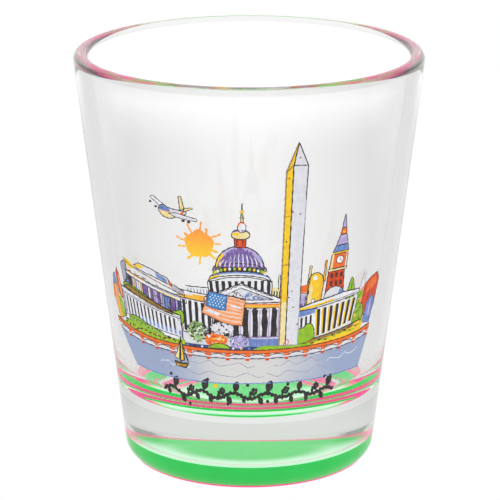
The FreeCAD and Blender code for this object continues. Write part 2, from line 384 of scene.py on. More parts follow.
class Ink(Enum):
    """The inks of the print: each has its full tone and the tone where it lies thinner or thicker."""

    BLACK = (paint(34, 29, 32), paint(58, 50, 54))
    WHITE = (paint(240, 240, 244), paint(222, 223, 231))
    PALE = (paint(224, 224, 230), paint(214, 215, 222))
    GREY = (paint(150, 150, 166), paint(185, 186, 198))
    CREAM = (paint(240, 226, 176), paint(234, 212, 140))
    YELLOW = (paint(248, 208, 34), paint(240, 190, 40))
    AMBER = (paint(244, 168, 50), paint(240, 188, 60))
    ORANGE = (paint(238, 116, 42), paint(232, 98, 36))
    PEACH = (paint(244, 166, 112), paint(240, 142, 84))
    BLUSH = (paint(242, 212, 196), paint(236, 190, 166))
    RED = (paint(222, 76, 28), paint(196, 58, 26))
    LIME = (paint(154, 196, 32), paint(130, 176, 36))
    LEAF = (paint(120, 160, 70), paint(186, 208, 160))
    OLIVE = (paint(168, 132, 36), paint(134, 104, 36))
    VIOLET = (paint(138, 106, 176), paint(112, 84, 152))
    LILAC = (paint(190, 178, 216), paint(170, 156, 204))
    BLUE = (paint(98, 128, 190), paint(128, 152, 204))
    SKY = (paint(52, 124, 186), paint(78, 144, 200))
    NAVY = (paint(48, 62, 112), paint(66, 82, 134))
    BROWN = (paint(104, 52, 28), paint(74, 38, 24))
    RIPPLE = (paint(150, 144, 168), paint(176, 170, 190))
    WATER = (paint(212, 212, 210), paint(152, 166, 198))
    SUN = (paint(250, 200, 46), paint(250, 152, 66))


@dataclass(frozen=True)
class InkFinish:
    """Fired screen-print ink: satin, a little uneven, with a fine grain, and a slight painted glow."""

    ink: Ink
    roughness: float = 0.45
    refraction: float = 1.45
    cloud: float = 1400.0
    cloud_detail: float = 5.0
    cloud_low: float = 0.35
    cloud_high: float = 0.68
    grain: float = 9000.0
    relief: float = 0.004 * MM
    relief_share: float = 0.5
    painted_glow: float = 0.12
    water_cloud: float = 240.0
    water_drift: float = 6.0 * MM
    water_start: float = 5.0 * MM
    water_end: float = 16.0 * MM
    sun_cloud: float = 600.0
    sun_drift: float = 1.6 * MM
    sun_start: float = 36.0 * MM
    sun_end: float = 41.0 * MM

    def tone(self, shader: Shader) -> bpy.types.NodeSocket:
        """The ink's colour at each point.

        Args:
            shader: The material that is being made.

        Returns:
            The colour.
        """
        first, second = self.ink.value
        if self.ink is Ink.WATER:
            side = shader.math("ABSOLUTE", shader.place().outputs["X"])
            cloud = shader.math("MULTIPLY", shader.noise(self.water_cloud), self.water_drift)
            drifted = shader.math("ADD", side, cloud)
            return shader.blend(shader.fade(drifted, self.water_start, self.water_end), first, second)
        if self.ink is Ink.SUN:
            height = shader.place().outputs["Z"]
            cloud = shader.math("MULTIPLY", shader.noise(self.sun_cloud), self.sun_drift)
            drifted = shader.math("ADD", height, cloud)
            return shader.blend(shader.fade(drifted, self.sun_start, self.sun_end), first, second)
        cloud = shader.noise(self.cloud, self.cloud_detail)
        return shader.blend(shader.fade(cloud, self.cloud_low, self.cloud_high), first, second)

    def build(self) -> bpy.types.Material:
        """Make the material."""
        shader = Shader(f"ink_{self.ink.name.lower()}")
        shader.set(Roughness=self.roughness, IOR=self.refraction)
        tone = self.tone(shader)
        shader.join(tone, shader.main.inputs["Base Color"])
        shader.join(tone, shader.main.inputs["Emission Color"])
        # The emission is a painted glow that brightens the ink.
        shader.set(Emission_Strength=self.painted_glow)
        shader.bump(shader.noise(self.grain), self.relief, self.relief_share)
        return shader.material


def deselect() -> None:
    """Leave edit mode and let go of every object."""
    if bpy.context.object and bpy.context.object.mode != "OBJECT":
        bpy.ops.object.mode_set(mode="OBJECT")
    bpy.ops.object.select_all(action="DESELECT")


def new_object(name: str, mesh: bpy.types.Mesh) -> bpy.types.Object:
    """Put a mesh in the scene as the one active and selected object.

    Args:
        name: The object's name.
        mesh: Its mesh.

    Returns:
        The object.
    """
    deselect()
    piece = bpy.data.objects.new(name, mesh)
    bpy.context.scene.collection.objects.link(piece)
    bpy.context.view_layer.objects.active = piece
    piece.select_set(True)
    return piece


def rounded(corners: Sequence[Point], radii: Sequence[float], turn: float = 4.0) -> list[Point]:
    """Round the corners of an open outline.

    Args:
        corners: The outline's corners.
        radii: The rounding at each corner; 0 keeps it sharp.
        turn: The angle in degrees between the points of a rounding.

    Returns:
        The outline's points.
    """
    points: list[Point] = []
    for index, (corner, radius) in enumerate(zip(corners, radii)):
        if radius == 0.0:
            points.append(corner)
            continue
        here = Vector(corner)
        before = (Vector(corners[index - 1]) - here).normalized()
        after = (Vector(corners[index + 1]) - here).normalized()
        angle = before.angle(after)
        start = here + before * (radius / math.tan(angle / 2))
        centre = here + (before + after).normalized() * (radius / math.sin(angle / 2))
        first = math.atan2(start.y - centre.y, start.x - centre.x)
        sweep = math.pi - angle
        if before.x * after.y - before.y * after.x > 0:
            sweep = -sweep
        steps = max(3, round(math.degrees(abs(sweep)) / turn))
        for step in range(steps + 1):
            here_angle = first + sweep * step / steps
            points.append(
                (centre.x + radius * math.cos(here_angle), centre.y + radius * math.sin(here_angle))
            )
    return points


def divided(points: Sequence[Point], step: float) -> list[Point]:
    """Add points along an outline so that none lie further apart than a step.

    Args:
        points: The outline.
        step: The longest distance.

    Returns:
        The outline with more points.
    """
    result = [points[0]]
    for (x0, y0), (x1, y1) in zip(points, points[1:]):
        count = max(1, math.ceil(math.hypot(x1 - x0, y1 - y0) / step))
        for number in range(1, count + 1):
            share = number / count
            result.append((x0 + (x1 - x0) * share, y0 + (y1 - y0) * share))
    return result


def moved_out(points: Sequence[Point], distance: float) -> list[Point]:
    """Move an outline to its right-hand side, which for the foot is outwards and down.

    Args:
        points: The outline.
        distance: How far it moves.

    Returns:
        The moved outline.
    """
    result = []
    last = len(points) - 1
    for index, (radius, height) in enumerate(points):
        before = points[max(0, index - 1)]
        after = points[min(last, index + 1)]
        length = math.hypot(after[0] - before[0], after[1] - before[1])
        across = (after[1] - before[1]) / length
        down = (before[0] - after[0]) / length
        new_radius = 0.0 if radius == 0.0 else radius + across * distance
        result.append((new_radius, height + down * distance))
    return result


def turned(name: str, outline: Sequence[Point], steps: int, closed: bool = False) -> bpy.types.Object:
    """Spin an outline about Z into a closed smooth shell.

    Args:
        name: The object's name.
        outline: Radius and height of each point, in millimetres.
        steps: How many steps there are round the axis.
        closed: Whether the outline's end joins its start.

    Returns:
        The object.
    """
    mesh = bpy.data.meshes.new(name)
    count = len(outline)
    edges = [(index, index + 1) for index in range(count - 1)]
    if closed:
        edges.append((count - 1, 0))
    mesh.from_pydata([(r * MM, 0.0, z * MM) for r, z in outline], edges, [])
    piece = new_object(name, mesh)
    bpy.ops.object.mode_set(mode="EDIT")
    bpy.ops.mesh.select_all(action="SELECT")
    bpy.ops.mesh.spin(steps=steps, angle=2 * math.pi, center=(0, 0, 0), axis=(0, 0, 1))
    bpy.ops.mesh.select_all(action="SELECT")
    bpy.ops.mesh.remove_doubles(threshold=1e-7)
    bpy.ops.mesh.normals_make_consistent(inside=False)
    bpy.ops.object.mode_set(mode="OBJECT")
    bpy.ops.object.shade_smooth()
    return piece


@dataclass
class Tumbler:
    """The glass and the two paint films under its foot. Sizes are in millimetres."""

    steps: int = 224
    rim_wall: float = 2.2
    floor_wall: float = 2.4
    floor_height: float = 10.4
    floor_corner: float = 6.0
    rim_rounding: float = 1.0
    heel_radius: float = 3.4
    bearing_inset: float = 0.9
    punt_ramp: float = 1.5
    punt_depth: float = 3.0
    punt_rounding: float = 0.8
    coat: float = 0.08
    ring_inset: float = 0.6
    ring_height: float = 0.8
    contact: float = 0.012
    rim_radius: float = field(init=False)
    foot_radius: float = field(init=False)
    base: float = field(init=False)
    height: float = field(init=False)

    def __post_init__(self) -> None:
        """Take the glass's height from its node and its radii from the constants."""
        low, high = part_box("glass_body")
        self.base = low.z / MM
        self.height = (high.z - low.z) / MM
        self.rim_radius = GLASS_RIM_RADIUS
        self.foot_radius = GLASS_FOOT_RADIUS

    @property
    def slope(self) -> float:
        """How much the wall leans out for each millimetre of height."""
        return (self.rim_radius - self.foot_radius) / self.height

    def wall_radius(self, height: float) -> float:
        """The outside radius of the wall at a height above the table."""
        return self.foot_radius + (height - self.base) * self.slope

    @property
    def bearing(self) -> float:
        """The inner radius of the ring that the glass stands on."""
        return self.foot_radius - self.heel_radius - self.bearing_inset

    def underside(self) -> tuple[list[Point], list[float]]:
        """The corners and roundings of the foot from below, from the axis to the heel."""
        punt = self.bearing - self.punt_ramp
        corners = [
            (0.0, self.punt_depth), (punt, self.punt_depth), (self.bearing, 0.0), (self.foot_radius, 0.0),
        ]
        corners = [(radius, height + self.base) for radius, height in corners]
        return corners, [0.0, self.punt_rounding, self.punt_rounding, self.heel_radius]

    def build_glass(self) -> bpy.types.Object:
        """Spin the glass and dress it."""
        corners, radii = self.underside()
        top = self.base + self.height
        floor = self.base + self.floor_height
        corners += [
            (self.rim_radius, top),
            (self.rim_radius - self.rim_wall, top),
            (self.foot_radius + self.floor_height * self.slope - self.floor_wall, floor),
            (0.0, floor),
        ]
        radii += [self.rim_rounding, self.rim_rounding, self.floor_corner, 0.0]
        outline = divided(rounded(corners, radii), 2.0)
        piece = turned("clear_tumbler", outline, self.steps)
        piece.data.materials.append(ClearGlass().build())
        # The foot's outside gets a darker tint: painted shade over the thick glass's own slight tint.
        piece.data.materials.append(ClearGlass("thick_glass", FOOT_SHADE_TINT).build())
        for face in piece.data.polygons:
            outside = math.hypot(face.center.x, face.center.y) > (self.foot_radius - self.heel_radius) * MM
            if outside and face.center.z < floor * MM:
                face.material_index = FOOT_MATERIAL
        return finish(piece, "glass_body", "clear_glass")

    def film(self, name: str, line: Sequence[Point]) -> bpy.types.Object:
        """Spin a paint film whose upper side lies in close contact with the glass.

        Args:
            name: The object's name.
            line: The part of the glass's underside that it covers.

        Returns:
            The object.
        """
        outline = moved_out(line, -self.contact) + moved_out(line, self.coat)[::-1]
        return turned(name, outline, self.steps, closed=line[0][0] > 0.0)

    def build_paint(self) -> None:
        """Spin the two paint films and dress them."""
        corners, radii = self.underside()
        heel_top = self.base + 2 * self.heel_radius
        corners.append((self.wall_radius(heel_top), heel_top))
        line = divided(rounded(corners, radii + [0.0]), 0.25)
        ring_start = self.bearing + self.ring_inset
        split = next(index for index, point in enumerate(line) if point[0] >= ring_start)
        heel_start = self.foot_radius - self.heel_radius
        heel = [point for point in line[split:] if point[0] < heel_start or point[1] <= self.ring_height]
        recess = self.film("recess_enamel", line[: split + 1])
        recess.data.materials.append(RecessPaint().build())
        finish(recess, "base_green_coat", "green_paint")
        ring = self.film("heel_enamel", heel)
        ring.data.materials.append(HeelPaint().build())
        finish(ring, "base_pink_ring", "pink_paint")


def finish(piece: bpy.types.Object, node: str, slot: str) -> bpy.types.Object:
    """Fix a piece to the object, in place of its node.

    Args:
        piece: The finished piece.
        node: The node that it stands for.
        slot: The record's material slot; not used.

    Returns:
        The piece.
    """
    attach(piece, BODY)
    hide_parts(node)
    LOG.info("%s stands for %s: %d faces", piece.name, node, len(piece.data.polygons))
    return piece


def patch(low_left: Point, low_right: Point, high_right: Point, high_left: Point) -> Patch:
    """Give a way to find any point of a four-sided area from its shares across and up.

    Args:
        low_left: The area's first corner.
        low_right: Its second corner.
        high_right: Its third corner.
        high_left: Its fourth corner.

    Returns:
        A function of the share across and the share up.
    """
    def at(across: float, up: float) -> Point:
        """Find one point."""
        low = [a + (b - a) * across for a, b in zip(low_left, low_right)]
        high = [a + (b - a) * across for a, b in zip(high_left, high_right)]
        return low[0] + (high[0] - low[0]) * up, low[1] + (high[1] - low[1]) * up

    return at


def area(at: Patch, left: float, low: float, right: float, high: float) -> list[Point]:
    """The corners of a part of a patch, given by its shares."""
    return [at(left, low), at(right, low), at(right, high), at(left, high)]


def bow(centre: Point, across: float, up: float, start: float, end: float, steps: int = 14) -> list[Point]:
    """Points along part of an ellipse.

    Args:
        centre: The ellipse's centre.
        across: Its half width.
        up: Its half height.
        start: The first angle, in degrees from the right.
        end: The last angle.
        steps: How many steps there are.

    Returns:
        The points.
    """
    points = []
    for step in range(steps + 1):
        angle = math.radians(start + (end - start) * step / steps)
        points.append((centre[0] + across * math.cos(angle), centre[1] + up * math.sin(angle)))
    return points


def between(before: float, start: float, end: float, after: float, share: float) -> float:
    """One coordinate of a smooth curve, at a share of the way between two of its points.

    Args:
        before: The point before the two.
        start: The first of the two.
        end: The second of the two.
        after: The point after the two.
        share: How far along it is.

    Returns:
        The coordinate.
    """
    square = (2 * before - 5 * start + 4 * end - after) * share**2
    cube = (3 * start - before - 3 * end + after) * share**3
    return 0.5 * (2 * start + (end - before) * share + square + cube)


def smooth_run(points: Sequence[Point], step: float = 0.3) -> list[Point]:
    """A smooth curve through points, for a free-hand line.

    Args:
        points: What the curve goes through.
        step: The distance between the curve's points.

    Returns:
        The curve's points.
    """
    if len(points) < 3:
        return list(points)
    ends = [points[0], *points, points[-1]]
    result = []
    for p0, p1, p2, p3 in zip(ends, ends[1:], ends[2:], ends[3:]):
        count = max(2, math.ceil(math.dist(p1, p2) / step))
        for number in range(count):
            t = number / count
            result.append(tuple(between(*values, t) for values in zip(p0, p1, p2, p3)))
    return result + [points[-1]]


class Drawing:
    """One motif of the print, drawn flat: millimetres round the wall of the glass and up from the table."""

    def __init__(self, glass: Tumbler, node: str, slot: str, layer: int, seed: int) -> None:
        """Start a motif.

        Args:
            glass: The glass that it is printed on.
            node: The node that it stands for.
            slot: The record's material slot.
            layer: How many layers of ink lie under it.
            seed: What its hand-drawn wobble starts from.
        """
        self.glass = glass
        self.node = node
        self.slot = slot
        self.lift = LAYER * (layer + 1)
        self.random = random.Random(seed)
        self.scale = 1.0
        self.anchor = (0.0, 0.0)
        self.shift = (0.0, 0.0)
        self.fills: list[tuple[Ink, float, list[Point]]] = []
        self.ribbons: list[tuple[Ink, float, list[list[Point]]]] = []

    def resize(self, scale: float, anchor: Point, shift: Point) -> None:
        """Draw the motif larger or smaller about a point, and move it.

        Args:
            scale: How much larger.
            anchor: The point that stays.
            shift: How far the motif then moves.
        """
        self.scale, self.anchor, self.shift = scale, anchor, shift

    def settled(self, point: Point) -> Point:
        """A point's place after the motif is resized and moved."""
        return tuple(a + (p - a) * self.scale + d for p, a, d in zip(point, self.anchor, self.shift))

    def layer(self) -> None:
        """Go on with a fresh layer over what is drawn."""
        self.lift += LAYER

    def fill(self, ink: Ink, points: Sequence[Point]) -> None:
        """Fill an area with ink.

        Args:
            ink: The ink.
            points: The area's outline.
        """
        twice = sum(a[0] * b[1] - b[0] * a[1] for a, b in zip(points, [*points[1:], points[0]]))
        run = list(points) if twice > 0 else list(points)[::-1]
        self.fills.append((ink, self.lift, run))

    def pen(
        self, points: Sequence[Point], width: float = PEN, ink: Ink = Ink.BLACK, closed: bool = False,
    ) -> None:
        """Draw a line by hand: a ribbon of slightly uneven width, broken at sharp corners.

        Args:
            points: What the line goes through.
            width: How wide it is.
            ink: The ink.
            closed: Whether it ends where it starts.
        """
        run = list(points) + ([points[0]] if closed else [])
        part = [run[0]]
        for before, here, after in zip(run, run[1:], run[2:]):
            part.append(here)
            ahead = math.atan2(after[1] - here[1], after[0] - here[0])
            behind = math.atan2(here[1] - before[1], here[0] - before[0])
            turn = ahead - behind
            if abs((turn + math.pi) % (2 * math.pi) - math.pi) > CORNER:
                self.ribbon(part, width, ink)
                part = [here]
        self.ribbon([*part, run[-1]], width, ink)

    def ribbon(self, points: Sequence[Point], width: float, ink: Ink) -> None:
        """Draw one unbroken piece of a line."""
        width *= LINE_WEIGHT
        run = divided(points, LINE_STEP)
        kept = [run[0]]
        for point in run[1:]:
            if math.dist(point, kept[-1]) > 0.04:
                kept.append(point)
        if len(kept) < 2:
            return
        for end, inner in ((0, 1), (-1, -2)):
            dx = kept[end][0] - kept[inner][0]
            dy = kept[end][1] - kept[inner][1]
            reach = 0.35 * width / max(math.hypot(dx, dy), 1e-6)
            kept[end] = (kept[end][0] + dx * reach, kept[end][1] + dy * reach)
        phase = self.random.uniform(0.0, 6.28)
        pace = self.random.uniform(1.2, 2.2)
        left = []
        right = []
        last = len(kept) - 1
        for index, (x, y) in enumerate(kept):
            before = kept[max(0, index - 1)]
            after = kept[min(last, index + 1)]
            length = max(math.dist(before, after), 1e-6)
            across = (-(after[1] - before[1]) / length, (after[0] - before[0]) / length)
            half = 0.5 * width * (
                1.0 + 0.28 * math.sin(pace * index + phase) + self.random.uniform(-0.12, 0.12)
            )
            if index in (0, last):
                half *= 0.6
            drift = 0.12 * width * math.sin(0.7 * pace * index + 2.0 * phase)
            left.append((x + across[0] * (drift + half), y + across[1] * (drift + half)))
            right.append((x + across[0] * (drift - half), y + across[1] * (drift - half)))
        quads = [[right[n], right[n + 1], left[n + 1], left[n]] for n in range(last)]
        self.ribbons.append((ink, self.lift, quads))

    def shape(self, ink: Ink, points: Sequence[Point], width: float = PEN, line: Ink = Ink.BLACK) -> None:
        """Fill an area and sketch round it twice, one layer higher."""
        self.fill(ink, points)
        lift = self.lift
        self.lift += LAYER
        self.pen(points, width, line, closed=True)
        slip = 0.3 * width
        loose = [
            (x + self.random.uniform(-slip, slip), y + self.random.uniform(-slip, slip))
            for x, y in points
        ]
        self.pen(loose, 0.5 * width, line, closed=True)
        self.lift = lift

    def blob(
        self, ink: Ink, centre: Point, across: float, up: float, rough: float = 0.15, sides: int = 9,
    ) -> None:
        """Fill a small uneven round spot."""
        turn = self.random.uniform(0.0, 6.28)
        points = []
        for side in range(sides):
            angle = turn + 2 * math.pi * side / sides
            reach = 1.0 + self.random.uniform(-rough, rough)
            points.append(
                (centre[0] + across * reach * math.cos(angle), centre[1] + up * reach * math.sin(angle))
            )
        self.fill(ink, points)

    def bars(
        self, at: Patch, count: int, low: float, high: float, share: float, ink: Ink, wobble: float = 0.1,
    ) -> None:
        """Fill the gaps of a colonnade: upright bars across a patch.

        Args:
            at: The patch.
            count: How many bars there are.
            low: Where they start, as a share up the patch.
            high: Where they end.
            share: How wide a bar is, as a share of its bay.
            ink: The ink.
            wobble: How uneven their edges are.
        """
        for number in range(count):
            middle = (number + 0.5) / count
            half = 0.5 * share / count
            edges = []
            for side in (-1, 1):
                steps = [low + (high - low) * k / 4 for k in range(5)]
                edge = [
                    at(middle + side * half * (1 + self.random.uniform(-wobble, wobble)), up)
                    for up in steps
                ]
                edges.append(edge)
            self.fill(ink, edges[1] + edges[0][::-1])

    def leaves(
        self, inks: Sequence[Ink], centre: Point, across: float, up: float, count: int, size: float,
    ) -> None:
        """Scatter small spots inside an ellipse, as foliage."""
        for number in range(count):
            angle = self.random.uniform(0.0, 6.28)
            reach = math.sqrt(self.random.random())
            spot = (centre[0] + across * reach * math.cos(angle), centre[1] + up * reach * math.sin(angle))
            self.blob(
                inks[number % len(inks)], spot, size * self.random.uniform(0.6, 1.2), size * 0.8, 0.35, 6,
            )

    def press(self) -> bpy.types.Object:
        """Turn the drawing into solid ink on the wall of the glass."""
        inks = sorted({ink for ink, _, _ in self.fills + self.ribbons}, key=lambda ink: ink.name)
        bm = bmesh.new()
        lifts = bm.verts.layers.float.new("lift")

        def face(points: Sequence[Point], ink: Ink, lift: float) -> None:
            """Add one flat face."""
            corners = [bm.verts.new((*self.settled(point), 0.0)) for point in points]
            for corner in corners:
                corner[lifts] = lift
            new = bm.faces.new(corners)
            new.material_index = inks.index(ink)
            new.normal_update()

        for ink, lift, points in self.fills:
            face(points, ink, lift)
        bmesh.ops.triangulate(bm, faces=bm.faces[:], ngon_method="EAR_CLIP")
        places = [vert.co.x for vert in bm.verts]
        if places:
            for cut in range(math.ceil(min(places) / SLICE), math.ceil(max(places) / SLICE)):
                parts = bm.verts[:] + bm.edges[:] + bm.faces[:]
                bmesh.ops.bisect_plane(
                    bm, geom=parts, plane_co=(cut * SLICE, 0, 0), plane_no=(1, 0, 0), dist=1e-5,
                )
        for ink, lift, quads in self.ribbons:
            rows = [bm.verts.new((*self.settled(quads[0][k]), 0.0)) for k in (0, 3)]
            for quad in quads:
                ahead = [bm.verts.new((*self.settled(quad[k]), 0.0)) for k in (1, 2)]
                new = bm.faces.new((rows[0], ahead[0], ahead[1], rows[1]))
                new.material_index = inks.index(ink)
                for corner in rows + ahead:
                    corner[lifts] = lift
                rows = ahead
        bmesh.ops.dissolve_degenerate(bm, dist=1e-5, edges=bm.edges[:])
        result = bmesh.ops.extrude_face_region(bm, geom=bm.faces[:])
        tops = {item for item in result["geom"] if isinstance(item, bmesh.types.BMVert)}
        for vert in bm.verts:
            height = vert[lifts] if vert in tops else -EMBED
            angle = vert.co.x / ART_RADIUS
            up = vert.co.y
            radius = self.glass.wall_radius(up) + height
            vert.co = Vector((radius * math.sin(angle), -radius * math.cos(angle), up)) * MM
        mesh = bpy.data.meshes.new(f"print_{self.node}")
        bm.to_mesh(mesh)
        bm.free()
        piece = new_object(f"print_{self.node}", mesh)
        for ink in inks:
            mesh.materials.append(INK_SHOP.get(ink))
        return finish(piece, self.node, self.slot)


class InkShop:
    """Makes each ink once and hands it out."""

    def __init__(self) -> None:
        """Start with no inks."""
        self.made: dict[Ink, bpy.types.Material] = {}

    def get(self, ink: Ink) -> bpy.types.Material:
        """The material of an ink."""
        if ink not in self.made:
            self.made[ink] = InkFinish(ink).build()
        return self.made[ink]


INK_SHOP = InkShop()


@dataclass
class Skyline:
    """The printed city: one method for each motif, from the back of the picture to its front."""

    glass: Tumbler

    def start(self, node: str, slot: str, layer: int, seed: int) -> Drawing:
        """Begin a motif."""
        return Drawing(self.glass, node, slot, layer, seed)

    def river(self) -> None:
        """The stretch of water, with ripples that sag with its edge."""
        art = self.start("river_panel", "ink_river", 0, 3)
        top = smooth_run(
            [
                (20.7, 22.3), (13.5, 21.6), (7.0, 21.3), (0.0, 21.2), (-7.0, 21.3), (-13.7, 21.6),
                (-18.5, 22.1), (-23.9, 23.1),
            ],
            0.8,
        )
        low = smooth_run(
            [(-19.7, 17.3), (-14.0, 16.9), (-6.0, 16.8), (1.8, 16.9), (10.0, 16.9), (18.9, 17.2)], 0.8,
        )
        art.fill(Ink.WATER, top + low)
        art.layer()
        art.pen([(a, b + 0.05) for a, b in low], 0.13, Ink.BLUE)
        art.pen([(-23.8, 23.0), (-19.8, 17.4)], 0.07, Ink.BLUE)
        ripples = [
            (-22.0, -15.6, 20.9, 0.5, Ink.WHITE), (-15.8, -10.9, 20.0, 0.3, Ink.RIPPLE),
            (-8.9, 0.8, 19.7, 0.3, Ink.RIPPLE), (-14.2, -9.0, 18.7, 0.2, Ink.WHITE),
            (-9.8, 2.2, 18.1, 0.28, Ink.RIPPLE), (3.6, 11.2, 19.6, 0.3, Ink.RIPPLE),
            (9.8, 17.6, 20.6, 0.34, Ink.WHITE), (2.6, 12.6, 18.2, 0.3, Ink.RIPPLE),
            (12.2, 18.2, 18.9, 0.22, Ink.WHITE), (-18.2, -12.2, 17.9, 0.2, Ink.RIPPLE),
        ]
        for start, end, height, swing, ink in ripples:
            points = []
            count = 28
            for step in range(count + 1):
                s = start + (end - start) * step / count
                rise = 0.0052 * (s + 1.0) ** 2
                wave = swing * math.sin(step * 0.52 + start) + 0.4 * swing * math.sin(step * 0.93)
                points.append((s, height + rise * 0.6 + wave))
            art.pen(points, 0.085, ink)
        art.press()

    def sun(self) -> None:
        """A brushed disc with ragged rays."""
        art = self.start("sun", "ink_yellow", 0, 11)
        centre = (-6.7, 37.5)
        edge = []
        sides = 64
        for side in range(sides):
            angle = 2 * math.pi * side / sides
            reach = 1.98 + art.random.uniform(-0.1, 0.1) + 0.1 * math.sin(5 * angle)
            edge.append((centre[0] + reach * math.cos(angle), centre[1] + reach * math.sin(angle)))
        art.fill(Ink.SUN, edge)
        rays = [
            (8, 3.0), (34, 3.35), (57, 2.5), (86, 3.3), (122, 3.2), (148, 2.4), (172, 3.3), (195, 3.05),
            (240, 2.85), (275, 3.0), (312, 2.9), (335, 2.7),
        ]
        art.layer()
        for degrees, reach in rays:
            angle = math.radians(degrees)
            bend = art.random.uniform(-0.12, 0.12)
            tip = (centre[0] + reach * math.cos(angle + bend), centre[1] + reach * math.sin(angle + bend))
            root = (centre[0] + 1.8 * math.cos(angle), centre[1] + 1.8 * math.sin(angle))
            middle = ((root[0] + tip[0]) / 2 + 0.06 * bend, (root[1] + tip[1]) / 2 + 0.5 * bend)
            art.pen(smooth_run([root, middle, tip], 0.2), 0.2 if reach > 2.9 else 0.3, Ink.SUN)
        art.press()

    def airplane(self) -> None:
        """A jet that banks away, with four engines."""
        art = self.start("airplane", "ink_pale", 0, 5)
        art.resize(0.9, (-10.4, 42.6), (0.0, -0.05))
        far = [(-13.9, 43.75), (-13.4, 44.0), (-11.4, 42.7), (-10.9, 42.2), (-11.9, 42.1)]
        fin = [(-9.0, 42.2), (-9.15, 44.4), (-8.75, 44.5), (-8.3, 42.4)]
        tail = [(-8.35, 42.0), (-7.0, 42.55), (-7.15, 42.75), (-8.5, 42.5)]
        art.shape(Ink.WHITE, far, 0.1)
        art.shape(Ink.CREAM, fin, 0.12)
        art.shape(Ink.CREAM, tail, 0.1)
        for engine in ((-13.9, 42.95), (-13.0, 42.25)):
            art.blob(Ink.BLACK, engine, 0.24, 0.2)
        art.layer()
        hull = smooth_run(
            [
                (-12.6, 41.9), (-12.3, 42.5), (-11.6, 42.75), (-10.6, 42.3), (-8.2, 42.0), (-8.3, 41.5),
                (-9.6, 41.1),
            ],
            0.2,
        )
        belly = smooth_run([(-9.6, 41.1), (-10.2, 40.75), (-11.0, 40.65), (-12.0, 41.0), (-12.6, 41.9)], 0.2)
        art.shape(Ink.PALE, hull + belly[1:], 0.13)
        art.layer()
        art.fill(
            Ink.BLUE,
            smooth_run(
                [
                    (-12.55, 41.95), (-12.2, 42.45), (-11.5, 42.65), (-10.8, 42.2), (-10.6, 41.75),
                    (-11.6, 41.75),
                ],
                0.25,
            ),
        )
        art.fill(
            Ink.CREAM,
            smooth_run(
                [
                    (-12.45, 41.6), (-11.6, 41.7), (-10.3, 41.6), (-10.1, 41.0), (-11.0, 40.75),
                    (-12.0, 41.05),
                ],
                0.25,
            ),
        )
        art.fill(Ink.ORANGE, [(-9.0, 41.7), (-8.4, 42.1), (-8.45, 41.6), (-8.9, 41.4)])
        art.layer()
        art.pen([(-12.5, 41.72), (-11.6, 41.78), (-10.4, 41.68)], 0.08, Ink.ORANGE)
        art.pen([(-12.5, 42.05), (-11.8, 42.2)], 0.08)
        wing = [(-10.9, 41.5), (-9.6, 41.65), (-6.5, 41.0), (-6.4, 40.6), (-7.6, 40.65), (-9.8, 41.0)]
        art.shape(Ink.WHITE, wing, 0.11)
        art.layer()
        art.pen([(-10.0, 41.3), (-7.0, 40.85)], 0.05, Ink.GREY)
        for engine in ((-8.6, 40.5), (-7.7, 40.4)):
            art.blob(Ink.BROWN, engine, 0.3, 0.22)
        art.press()

    def left_gallery(self) -> None:
        """A leaning row of halls under slanted roofs, with a lawn in front."""
        art = self.start("left_gallery", "ink_violet", 0, 21)
        art.resize(0.96, (-15.5, 29.0), (0.35, 0.0))
        hall = patch((-21.0, 29.0), (-9.3, 25.6), (-9.4, 29.9), (-21.3, 32.4))
        art.shape(Ink.LILAC, area(hall, 0.0, 0.0, 1.0, 0.72), 0.14)
        art.layer()
        for start, end, ink in (
            (0.02, 0.09, Ink.BLUE), (0.11, 0.16, Ink.BLACK), (0.25, 0.33, Ink.PALE), (
                0.36, 0.45, Ink.VIOLET,
            ),
            (
                0.50, 0.64, Ink.VIOLET,
            ), (0.70, 0.78, Ink.BLUE), (0.80, 0.86, Ink.VIOLET), (0.90, 0.97, Ink.NAVY),
        ):
            art.shape(ink, area(hall, start, 0.08, end, 0.66), 0.1)
        art.layer()
        art.layer()
        for start, end, ink in (
            (0.19, 0.215, Ink.YELLOW), (0.325, 0.35, Ink.AMBER), (0.54, 0.60, Ink.LILAC),
            (0.46, 0.485, Ink.WHITE),
        ):
            art.fill(ink, area(hall, start, 0.02, end, 0.68))
        for number in range(26):
            across = (number + 0.5) / 26
            art.pen([hall(across, 0.02), hall(across + 0.004, 0.68)], 0.06)
        art.layer()
        art.shape(Ink.WHITE, area(hall, 0.05, 0.66, 1.02, 0.84), 0.12)
        art.layer()
        art.fill(Ink.AMBER, area(hall, 0.06, 0.78, 0.4, 0.86))
        art.fill(Ink.GREY, area(hall, 0.42, 0.76, 0.98, 0.82))
        art.fill(Ink.CREAM, area(hall, 0.62, 0.66, 0.9, 0.74))
        art.shape(
            Ink.GREY, [(-21.7, 32.3), (-20.9, 33.0), (-20.2, 32.8), (-20.6, 29.9), (-21.3, 29.8)], 0.12,
        )
        roof = [
            (-18.5, 32.7), (-17.3, 33.3), (-15.0, 32.9), (-12.0, 31.9), (-11.6, 30.9), (-14.4, 31.7),
            (-17.5, 32.3),
        ]
        art.shape(Ink.PALE, roof, 0.12)
        art.layer()
        art.fill(
            Ink.YELLOW,
            [(-20.6, 33.2), (-20.1, 33.5), (-19.0, 32.9), (-18.4, 32.3), (-19.2, 32.0), (-20.1, 32.5)],
        )
        art.fill(Ink.YELLOW, [(-18.4, 32.7), (-17.4, 33.15), (-16.2, 32.9), (-17.0, 32.4)])
        art.fill(Ink.BLUE, [(-14.2, 32.5), (-12.3, 31.8), (-12.0, 31.1), (-13.8, 31.7)])
        art.fill(Ink.ORANGE, [(-12.0, 31.7), (-11.6, 31.6), (-11.3, 30.6), (-11.7, 30.7)])
        art.shape(Ink.PALE, [(-11.4, 31.2), (-9.5, 30.3), (-9.3, 29.5), (-11.3, 30.2)], 0.1)
        art.layer()
        for number in range(5):
            low = 30.35 + number * 0.19
            art.pen([(-11.3, low), (-9.5, low - 0.75)], 0.05)
        art.pen([(-20.9, 33.4), (-19.4, 32.6), (-15.0, 31.4), (-11.4, 30.3)], 0.1, Ink.BROWN)
